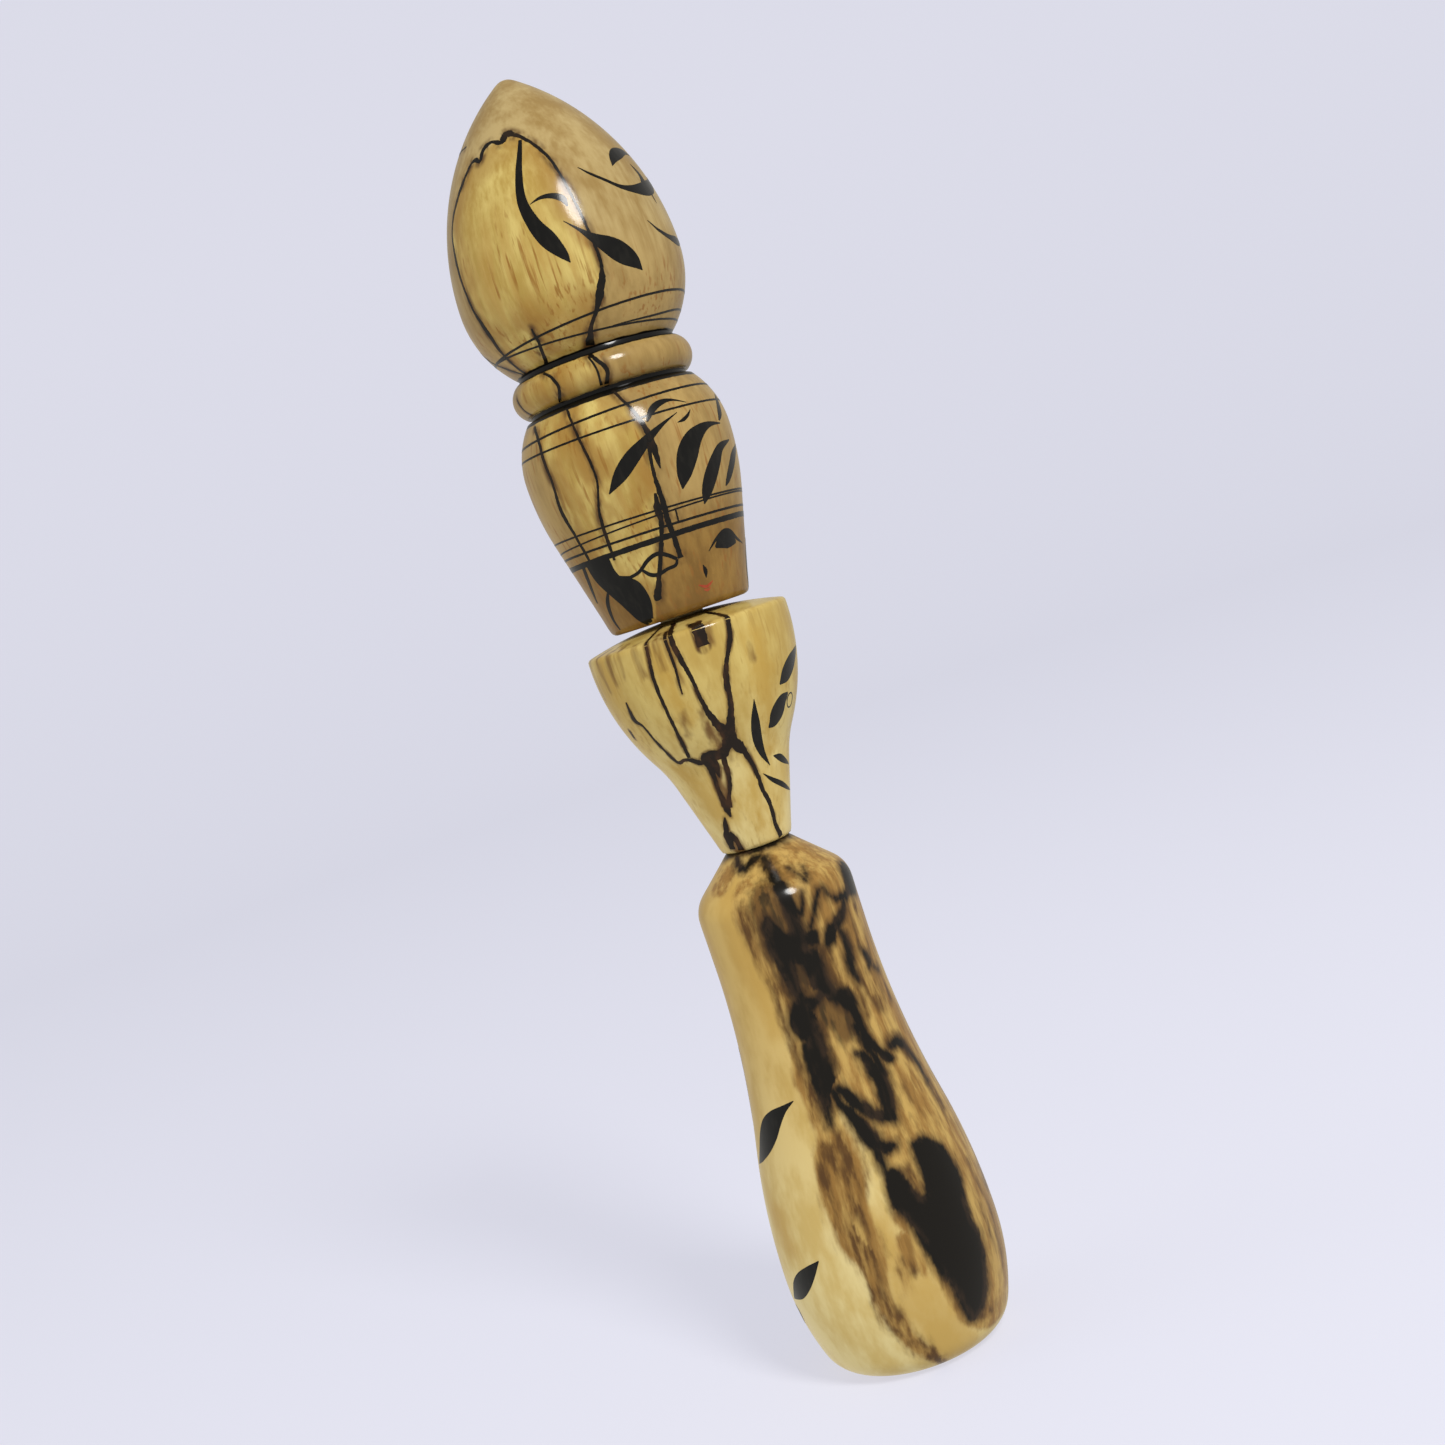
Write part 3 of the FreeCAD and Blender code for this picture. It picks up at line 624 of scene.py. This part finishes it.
class Shader:
    """A material's node tree, built a step at a time."""

    def __init__(self, name):
        self.material = bpy.data.materials.new(name)
        self.material.use_nodes = True
        self.tree = self.material.node_tree
        self.surface = self.tree.nodes["Principled BSDF"]

    def node(self, kind, inputs=(), **settings):
        made = self.tree.nodes.new("ShaderNode" + kind)
        for key, value in settings.items():
            setattr(made, key, value)
        for socket, value in dict(inputs).items():
            self.feed(made.inputs[socket], value)
        return made

    def feed(self, socket, value):
        """Links a node's output to a socket, or sets it to a plain value."""
        if isinstance(value, bpy.types.NodeSocket):
            self.tree.links.new(value, socket)
        else:
            socket.default_value = value

    def math(self, operation, a, b=0.0, clamp=False):
        return self.node("Math", {0: a, 1: b}, operation=operation, use_clamp=clamp).outputs[0]

    def times(self, a, b):
        return self.math("MULTIPLY", a, b)

    def plus(self, a, b):
        return self.math("ADD", a, b)

    def weighed(self, a, weight_a, b, weight_b):
        """The sum of two values, each times its weight."""
        return self.plus(self.times(a, weight_a), self.times(b, weight_b))

    def fade(self, value, start, end):
        """1 at start and 0 at end, smooth between."""
        made = self.node("MapRange", {"Value": value, "From Min": end, "From Max": start},
                         interpolation_type="SMOOTHSTEP")
        return made.outputs[0]

    def mix(self, amount, first, second):
        """The first colour at amount 0, the second at 1."""
        made = self.node("Mix", data_type="RGBA")
        self.feed(made.inputs[0], amount)
        self.feed(made.inputs[6], first)
        self.feed(made.inputs[7], second)
        return made.outputs[2]

    def cover(self, base, where, strength, shade):
        """The base with a shade over it, at most that strongly."""
        return self.mix(self.times(where, strength), base, shade)

    def millimetres(self, stretch=(1, 1, 1)):
        """The place on the object in millimetres, with each axis stretched."""
        place = self.node("TexCoord").outputs["Object"]
        scale = tuple(s / METRES for s in stretch)
        return self.node("VectorMath", {0: place, 1: scale}, operation="MULTIPLY").outputs[0]

    def height(self):
        """The height on the object in millimetres."""
        return self.node("SeparateXYZ", {0: self.millimetres()}).outputs[2]

    def noise(self, scale, stretch=(1, 1, 1), detail=3.0, roughness=0.5):
        """Cloudy noise between 0 and 1, with its scale per millimetre."""
        made = self.node("TexNoise", {"Vector": self.millimetres(stretch), "Scale": scale,
                                      "Detail": detail, "Roughness": roughness})
        return made.outputs[0]

    def swing(self, *texture):
        """The same noise about 0."""
        return self.math("SUBTRACT", self.noise(*texture), 0.5)

    def field(self, name):
        """The distances that a piece's vertices carry under that name."""
        return self.node("Attribute", attribute_name=name).outputs["Fac"]


def colour(red, green, blue):
    """An sRGB colour as a shader takes it."""
    values = (v / 255 for v in (red, green, blue))
    return tuple(v / 12.92 if v <= 0.04045 else ((v + 0.055) / 1.055) ** 2.4 for v in values) + (1,)


# Noise is stretched along the doll's axis as wood grain is
GRAIN = (1, 1, 0.08)
FIBRES = (1, 1, 0.035)

# Colours of the head's wood, outside its golden patch and inside it
TAN = colour(170, 149, 101)
UMBER = colour(142, 116, 67)
LOW_TAN = colour(166, 139, 85)
FACE_TAN = colour(144, 112, 56)
FACE_UMBER = colour(116, 86, 40)
RUSTY = colour(134, 90, 40)
GOLD = colour(196, 176, 106)
DEEP_GOLD = colour(166, 139, 70)
OCHRE = colour(156, 114, 46)
AMBER = colour(130, 84, 26)
DIM_GOLD = colour(140, 102, 44)

# Colours of the bust's wood and its stains; its paler lower tones are painted light from below
BUST_UPPER = colour(196, 174, 104)
BUST_UPPER_GRAIN = colour(176, 148, 78)
BUST_LOWER_PAINTED_LIGHT = colour(214, 196, 136)
BUST_LOWER_GRAIN_PAINTED_LIGHT = colour(194, 168, 98)
BUST_FLECK = colour(146, 112, 50)
BUST_GOLD = colour(178, 144, 66)
BUST_STAIN = colour(94, 58, 24)

# Colours of the body's wood, its stained side and its black masses; its paler lower tones are painted
# light from below
BODY_UPPER = colour(196, 167, 100)
BODY_UPPER_GRAIN = colour(180, 149, 82)
BODY_LOWER_PAINTED_LIGHT = colour(217, 200, 143)
BODY_LOWER_GRAIN_PAINTED_LIGHT = colour(200, 175, 108)
BODY_GOLD = colour(184, 150, 78)
STAINED = colour(184, 152, 86)
STAINED_STREAK = colour(146, 110, 56)
STAINED_LINE = colour(92, 66, 32)
LIGHT_BROWN = colour(136, 100, 48)
BROWN = colour(84, 58, 30)
DEEP_BROWN = colour(98, 70, 35)
DARKEST_BROWN = colour(38, 28, 18)
BLACK_EDGE = colour(66, 46, 26)
SMOKE = colour(44, 32, 22)
BLACK_BROWN = colour(16, 13, 9)

# Colours of the pegs, the dark lines and the paint
PEG_PALE = colour(206, 184, 120)
HEAD_LINE_PATCH = colour(36, 24, 15)
BUST_LINE = colour(28, 19, 13)
BUST_LINE_PATCH = colour(58, 36, 20)
INK_BLACK = colour(10, 10, 9)
WORN_INK = colour(22, 21, 18)
RED = colour(152, 60, 38)
WORN_RED = colour(156, 82, 46)

# Heights between which the wood's lower colour gives way to its upper one
HOOD_FOOT = (192, 212)
FACE_TOP = (152, 162)
PATCH_FOOT = (206, 222)
# On the bust, the paler lower colour is painted light from below
BUST_PAINTED_LIGHT_RISE = (100, 132)
# On the body, the paler lower colour is painted light from below
BODY_PAINTED_LIGHT_RISE = (12, 80)


def set_inputs(node, values):
    """Sets a node's own sockets to plain values."""
    for socket, value in values.items():
        node.inputs[socket].default_value = value


def lacquer(shader, roughness):
    """Clear gloss over the wood, slightly uneven."""
    set_inputs(shader.surface, {"Coat Weight": 0.42, "Coat Roughness": 0.13, "Coat IOR": 1.5,
                                "Roughness": roughness, "Specular IOR Level": 0.04})
    ripple = shader.noise(0.35, (1, 1, 0.4), 2.0)
    bump = shader.node("Bump", {"Strength": 0.12, "Distance": 0.0001, "Height": ripple})
    for socket in ("Normal", "Coat Normal"):
        shader.feed(shader.surface.inputs[socket], bump.outputs[0])


def finished(shader, base, roughness):
    """The material of that colour under lacquer."""
    shader.feed(shader.surface.inputs["Base Color"], base)
    lacquer(shader, roughness)
    return shader.material


def clean_wood(shader, light, deep, streaky=0.5):
    """Fine grain along the axis over broad clouds, in two tones."""
    clouds = shader.noise(0.13, (1, 1, 0.45), 4.0, 0.6)
    streaks = shader.noise(1.0, GRAIN, 4.0, 0.6)
    tone = shader.weighed(clouds, 2 - streaky, streaks, streaky)
    return shader.mix(shader.fade(tone, 1.24, 0.76), deep, light)


def flecks(shader, base, shade, amount):
    """Short fine fibres of another shade, in loose groups."""
    fibres = shader.fade(shader.noise(1.5, FIBRES, 2.0, 0.5), 0.68, 0.52)
    groups = shader.fade(shader.noise(0.2, (1, 1, 0.5), 3.0), 0.6, 0.42)
    return shader.cover(base, shader.times(fibres, groups), amount, shade)


def halos(shader, base, reach):
    """Brown stain that spreads a little from the zone lines, unevenly."""
    spread = shader.fade(shader.field("zone"), 0.0, reach)
    uneven = shader.fade(shader.noise(0.5, (1, 1, 0.3), 3.0), 0.64, 0.38)
    return shader.cover(base, spread, uneven, BROWN)


def head_outside(shader, height):
    """The head's tan wood: warmer towards the hood's foot, darker round the face."""
    low = shader.fade(height, *HOOD_FOOT)
    face = shader.fade(height, *FACE_TOP)
    light = shader.mix(face, shader.mix(low, TAN, LOW_TAN), FACE_TAN)
    wood = clean_wood(shader, light, shader.mix(face, UMBER, FACE_UMBER))
    return flecks(shader, wood, RUSTY, shader.times(low, 0.75))


def head_inside(shader, height):
    """The golden patch: amber bands and flecks low in it, dimmer in places near its edge."""
    lower = shader.fade(height, *PATCH_FOOT)
    wood = clean_wood(shader, GOLD, DEEP_GOLD, 0.8)
    bands = shader.fade(shader.noise(0.5, GRAIN, 3.0, 0.6), 0.6, 0.42)
    wood = shader.cover(wood, shader.times(bands, lower), 0.45, OCHRE)
    wood = flecks(shader, wood, AMBER, shader.times(lower, 0.75))
    near_line = shader.fade(shader.field("zone"), 0.5, 7)
    patches = shader.fade(shader.noise(0.16, (1, 1, 0.6), 3.0), 0.56, 0.4)
    return shader.cover(wood, shader.times(near_line, patches), 0.65, DIM_GOLD)


def groove_paint(shader, base, height):
    """Black paint in the grooves, with edges that wander a little."""
    height = shader.plus(height, shader.times(shader.swing(0.5), 0.3))
    for bottom, top in GROOVE_PAINT:
        off = shader.math("ABSOLUTE", shader.math("SUBTRACT", height, (bottom + top) / 2))
        reach = (top - bottom) / 2
        base = shader.mix(shader.fade(off, reach - GROOVE_EDGE, reach + GROOVE_EDGE), base, INK_BLACK)
    return base


def head_wood():
    """Tan wood, golden inside the zone line, with black paint in the two grooves."""
    shader = Shader("head_spalted_wood")
    height = shader.height()
    patch = shader.fade(shader.field("heart"), -0.4, 0.4)
    base = shader.mix(patch, head_outside(shader, height), head_inside(shader, height))
    base = halos(shader, base, 1.3)
    base = groove_paint(shader, base, height)
    return finished(shader, base, 0.4)


def bust_wood():
    """The palest of the three blocks, with brown stains round its crossing zone lines."""
    shader = Shader("bust_spalted_wood")
    # Paler towards the foot: painted light from below
    low = shader.fade(shader.height(), *BUST_PAINTED_LIGHT_RISE)
    base = clean_wood(shader, shader.mix(low, BUST_UPPER, BUST_LOWER_PAINTED_LIGHT),
                      shader.mix(low, BUST_UPPER_GRAIN, BUST_LOWER_GRAIN_PAINTED_LIGHT), 0.3)
    base = flecks(shader, base, BUST_FLECK, 0.35)
    warp = shader.swing(0.5, (1, 1, 0.35), 4.0, 0.55)
    honey = shader.plus(shader.field("honey"), shader.times(warp, 7.0))
    base = shader.cover(base, shader.fade(honey, -2.5, 1.5), 0.75, BUST_GOLD)
    drift = shader.swing(0.8, (1, 1, 0.2), 2.0)
    stain = shader.plus(shader.field("stain"), shader.times(drift, 2.4))
    base = shader.cover(base, shader.fade(stain, -1.1, 0.7), 0.9, BUST_STAIN)
    base = halos(shader, base, 0.6)
    return finished(shader, base, 0.4)


def pale_side(shader, drift):
    """The body's smooth pale wood, more golden in places."""
    # Paler towards the foot: painted light from below
    low = shader.fade(shader.height(), *BODY_PAINTED_LIGHT_RISE)
    base = clean_wood(shader, shader.mix(low, BODY_UPPER, BODY_LOWER_PAINTED_LIGHT),
                      shader.mix(low, BODY_UPPER_GRAIN, BODY_LOWER_GRAIN_PAINTED_LIGHT), 0.1)
    honey = shader.fade(shader.plus(shader.field("honey"), drift), -1.5, 2.5)
    return shader.cover(base, honey, 0.75, BODY_GOLD)


def stained_side(shader):
    """The body's streaky stained wood, with fine darker lines along the grain."""
    streaks = shader.fade(shader.noise(0.34, (1, 1, 0.2), 4.0, 0.6), 0.62, 0.4)
    lines = shader.fade(shader.noise(1.2, (1, 1, 0.12), 3.0, 0.55), 0.66, 0.48)
    tone = shader.mix(streaks, STAINED, STAINED_STREAK)
    return shader.cover(tone, lines, 0.3, STAINED_LINE)


def browns(shader, base, drift):
    """Patchy brown over the wood, and a deep grainy brown between the upper branches."""
    brown = shader.fade(shader.plus(shader.field("brown"), drift), -1.1, 1.4)
    patchy = shader.fade(shader.noise(0.45, (1, 1, 0.22), 4.0, 0.55), 0.66, 0.34)
    base = shader.cover(base, brown, shader.math("ADD", patchy, 0.2, True),
                        shader.mix(patchy, LIGHT_BROWN, BROWN))
    deep = shader.fade(shader.plus(shader.field("deep"), drift), -1.6, 1.2)
    grainy = shader.fade(shader.noise(0.6, (1, 1, 0.22), 3.0, 0.55), 0.6, 0.42)
    return shader.cover(base, deep, 0.92, shader.mix(grainy, DEEP_BROWN, DARKEST_BROWN))


def blacks(shader, base, drift):
    """The black masses, and the ring under the bust that is partly painted shade: a brown edge, then
    smoky black, then nearly plain black.
    """
    black = shader.plus(shader.field("black"), drift)
    clouds = shader.fade(shader.noise(0.3, (1, 1, 0.4), 4.0, 0.6), 0.62, 0.46)
    base = shader.cover(base, shader.fade(black, -0.2, 1.6), 0.75, BLACK_EDGE)
    base = shader.mix(shader.fade(black, -0.6, 0.35), base, shader.mix(clouds, BLACK_BROWN, SMOKE))
    return shader.mix(shader.fade(black, -1.8, -0.7), base, BLACK_BROWN)


def body_wood():
    """Half pale and smooth, half stained brown, with black masses that run along the grain."""
    shader = Shader("body_spalted_wood")
    warp = shader.swing(0.28, (1, 1, 0.45), 4.0, 0.55)
    fine = shader.swing(1.0, (1, 1, 0.3), 3.0, 0.55)
    drift = shader.weighed(warp, 4.5, fine, 1.4)
    edge = shader.plus(shader.field("stain"), shader.weighed(warp, 3.2, fine, 0.5))
    base = shader.mix(shader.fade(edge, -0.9, 0.6), pale_side(shader, drift), stained_side(shader))
    base = browns(shader, base, drift)
    base = blacks(shader, base, shader.weighed(warp, 2.0, fine, 1.4))
    return finished(shader, base, 0.42)


def peg_wood():
    """Plain straight-grained wood of the two hidden pegs."""
    shader = Shader("peg_plain_wood")
    shader.feed(shader.surface.inputs["Base Color"], clean_wood(shader, PEG_PALE, TAN))
    shader.surface.inputs["Roughness"].default_value = 0.6
    return shader.material


def zone_line(name, shade, patches):
    """A fungus line in the wood: nearly black, with patches of another shade."""
    shader = Shader(name)
    where = shader.fade(shader.noise(0.35, (1, 1, 0.5), 3.0), 0.7, 0.5)
    return finished(shader, shader.mix(where, shade, patches), 0.42)


def paint(name, base, worn):
    """Brushed ink or colour under the same lacquer."""
    shader = Shader(name)
    brush = shader.fade(shader.noise(0.9, (1, 1, 0.4), 3.0), 0.75, 0.45)
    return finished(shader, shader.mix(brush, base, worn), 0.35)


def turned_block(name, body, material):
    """The smooth turned mesh that stands for a CAD block, and its surface for paint to follow."""
    outline = smooth_outline(half_outline(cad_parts[name]))
    vertices, faces = turned_faces(outline)
    piece = mesh_piece(name + "_turned", vertices, faces, body, material)
    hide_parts(name)
    return piece, Surface(outline)


def build_head(ink, zone, red):
    """The head, with its dark lines, leaves, rings, face and hair."""
    piece, surface = turned_block("head", "head", head_wood())
    zone_lines = HEAD_ZONE_LINES + HEAD_BACK_ZONE_LINES
    add_field(piece, "zone", surface, zone_lines)
    add_field(piece, "heart", surface, outlines=[HEART_OUTLINE])
    painted("head_zone_lines", zone_lines, surface, "head", zone, ragged=0.4)
    hood = both_sides(HOOD_SPRAY, HOOD_MIDDLE) + both_sides(HOOD_KNOT, HOOD_MIDDLE)
    painted("hood_leaves", hood, surface, "head", ink)
    painted("barrel_leaves", both_sides(BARREL_SPRAY, BARREL_MIDDLE), surface, "head", ink)
    rings = [drawn_ring(*ring) for ring in DRAWN_RINGS]
    painted("drawn_rings", rings, surface, "head", ink, ragged=0.15, closed=True)
    painted("open_ring", [OPEN_RING], surface, "head", ink)
    painted("eyes", EYES, surface, "head", ink)
    painted("nose", [NOSE], surface, "head", ink)
    painted("mouth", MOUTH, surface, "head", red)
    painted("hair_locks", both_sides(HAIR, HAIR_MIDDLE), surface, "head", ink)


def build_bust(ink, zone):
    """The bust, with its dark lines, leaves and berry."""
    piece, surface = turned_block("bust", "body", bust_wood())
    zone_lines = BUST_ZONE_LINES + BUST_BACK_ZONE_LINES
    add_field(piece, "zone", surface, zone_lines)
    add_field(piece, "stain", surface, BUST_STAINS)
    add_field(piece, "honey", surface, BUST_HONEY)
    painted("bust_zone_lines", zone_lines, surface, "body", zone, ragged=0.4)
    painted("bust_leaves", both_sides(BUST_SPRAY, BUST_MIDDLE), surface, "body", ink)
    berry = loop(*BUST_BERRY, BERRY_LINE, surface)
    painted("bust_berry", [berry], surface, "body", ink, closed=True)


def build_body(ink):
    """The body, with its leaves and their stem."""
    piece, surface = turned_block("body", "body", body_wood())
    black = BODY_BLACK + BODY_BACK_BLACK + [drawn_ring(*BODY_SEAM_AND_SHADE)]
    add_field(piece, "black", surface, black, BODY_BLACK_OUTLINES)
    add_field(piece, "brown", surface, BODY_BROWN)
    add_field(piece, "deep", surface, outlines=BODY_DEEP_OUTLINES)
    add_field(piece, "stain", surface, outlines=BODY_STAIN_OUTLINES)
    add_field(piece, "honey", surface, BODY_HONEY)
    painted("body_leaves", both_sides(BODY_SPRAY, BODY_MIDDLE), surface, "body", ink)
    painted("body_stem", [BODY_STEM], surface, "body", ink)


def build_pegs():
    """The two pegs keep their CAD meshes and get plain wood."""
    material = peg_wood()
    for name in ("waist_peg", "neck_peg"):
        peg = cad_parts[name]
        peg.data.materials.clear()
        peg.data.materials.append(material)


# Camera: millimetres and degrees; it looks a little down at the doll and is rolled to one side
CAMERA_AZIMUTH = -25.0
CAMERA_ELEVATION = 3.8
CAMERA_ROLL = 18.4
CAMERA_DISTANCE = 362.1
CAMERA_AIM_HEIGHT = 120.1
CAMERA_SLIDE = 0.9
CAMERA_LENS = 50
CAMERA_SENSOR = 36
CAMERA_NEAREST = 10


def direction(azimuth, elevation):
    """Away from the doll, at an azimuth and elevation in degrees."""
    azimuth = math.radians(azimuth)
    elevation = math.radians(elevation)
    return Vector((math.sin(azimuth) * math.cos(elevation), -math.cos(azimuth) * math.cos(elevation),
                   math.sin(elevation)))


def place_camera():
    """The camera, rolled and slid a little to its right."""
    azimuth = math.radians(CAMERA_AZIMUTH)
    roll = math.radians(CAMERA_ROLL)
    away = direction(CAMERA_AZIMUTH, CAMERA_ELEVATION)
    level = Vector((math.cos(azimuth), math.sin(azimuth), 0))
    upright = away.cross(level)
    right = math.cos(roll) * level - math.sin(roll) * upright
    up = math.cos(roll) * upright + math.sin(roll) * level
    place = Vector((0, 0, CAMERA_AIM_HEIGHT)) + CAMERA_DISTANCE * away + CAMERA_SLIDE * level
    lens = bpy.data.cameras.new("camera")
    lens.lens = CAMERA_LENS
    lens.sensor_width = CAMERA_SENSOR
    lens.clip_start = CAMERA_NEAREST * METRES
    camera = bpy.data.objects.new("camera", lens)
    turn = Matrix((right, up, away)).transposed().to_4x4()
    camera.matrix_world = Matrix.Translation(place * METRES) @ turn
    bpy.context.scene.collection.objects.link(camera)
    bpy.context.scene.camera = camera


# Backdrop and lamps: metres
COVE_RADIUS = 1.5
COVE_BEND = 0.7
COVE_HEIGHT = 2.6
COVE_SIDES = 96
COVE_ROWS = 24


def backdrop_paper():
    """Matt pale paper that glows evenly."""
    material = bpy.data.materials.new("backdrop_paper")
    material.use_nodes = True
    set_inputs(material.node_tree.nodes["Principled BSDF"],
               {"Base Color": (0.25, 0.25, 0.27, 1), "Roughness": 0.9, "Specular IOR Level": 0.0,
                "Emission Color": (0.845, 0.855, 1.0, 1), "Emission Strength": 0.64})
    return material


def build_backdrop():
    """A pale floor that curves up into a round wall; the sky's light passes through it."""
    bend = [(COVE_RADIUS + COVE_BEND * math.sin(t), COVE_BEND * (1 - math.cos(t)))
            for t in (math.pi / 2 * k / COVE_ROWS for k in range(COVE_ROWS + 1))]
    outline = [(0, 0)] + bend + [(COVE_RADIUS + COVE_BEND, COVE_HEIGHT)]
    vertices = []
    rings = []
    for r, z in outline:
        rings.append(len(vertices))
        sides = COVE_SIDES if r else 1
        vertices += [(r * math.cos(a), r * math.sin(a), z)
                     for a in (2 * math.pi * k / sides for k in range(sides))]
    around = [(k, (k + 1) % COVE_SIDES) for k in range(COVE_SIDES)]
    faces = [(0, rings[1] + k, rings[1] + n) for k, n in around]
    for low, high in zip(rings[1:], rings[2:]):
        faces += [(low + k, high + k, high + n, low + n) for k, n in around]
    mesh = bpy.data.meshes.new("backdrop")
    mesh.from_pydata(vertices, [], faces)
    mesh.shade_smooth()
    mesh.materials.append(backdrop_paper())
    backdrop = bpy.data.objects.new("backdrop", mesh)
    backdrop.visible_diffuse = False
    backdrop.visible_glossy = False
    backdrop.visible_shadow = False
    bpy.context.scene.collection.objects.link(backdrop)


LAMP_AIM_HEIGHT = 0.13


def build_lamp(name, azimuth, elevation, distance, width, length, power, mirrored_in_lacquer):
    """A soft oval lamp: degrees round the doll and above it, metres and watts."""
    data = bpy.data.lights.new(name, "AREA")
    data.shape = "ELLIPSE"
    data.size = width
    data.size_y = length
    data.energy = power
    data.color = (1.0, 0.99, 0.97)
    lamp = bpy.data.objects.new(name, data)
    away = direction(azimuth, elevation)
    turn = away.to_track_quat("Z", "Y").to_matrix().to_4x4()
    place = Vector((0, 0, LAMP_AIM_HEIGHT)) + distance * away
    lamp.matrix_world = Matrix.Translation(place) @ turn
    lamp.visible_glossy = mirrored_in_lacquer
    bpy.context.scene.collection.objects.link(lamp)


def build_sky():
    """Even pale light from all round, stronger from below, as off a white table."""
    world = bpy.data.worlds.new("studio")
    bpy.context.scene.world = world
    world.use_nodes = True
    tree = world.node_tree
    background = tree.nodes["Background"]
    set_inputs(background, {"Color": (1.0, 0.97, 0.92, 1)})
    place = tree.nodes.new("ShaderNodeTexCoord")
    parts = tree.nodes.new("ShaderNodeSeparateXYZ")
    rise = tree.nodes.new("ShaderNodeMapRange")
    set_inputs(rise, {"From Min": -0.6, "From Max": 0.8, "To Min": 0.7, "To Max": 0.42})
    tree.links.new(place.outputs["Generated"], parts.inputs[0])
    tree.links.new(parts.outputs["Z"], rise.inputs["Value"])
    tree.links.new(rise.outputs[0], background.inputs["Strength"])


def build():
    ink = paint("black_ink", INK_BLACK, WORN_INK)
    red = paint("red_paint", RED, WORN_RED)
    build_head(ink, zone_line("head_zone_black", BLACK_BROWN, HEAD_LINE_PATCH), red)
    build_bust(ink, zone_line("bust_zone_brown", BUST_LINE, BUST_LINE_PATCH))
    build_body(ink)
    build_pegs()
    place_camera()
    build_backdrop()
    build_lamp("main_lamp", 3, 38, 1.1, 0.26, 0.43, 10.8, True)
    build_lamp("left_fill", -115, 0, 1.3, 1.1, 1.4, 6, False)
    build_sky()
    bpy.context.scene.view_settings.view_transform = "Standard"


build()
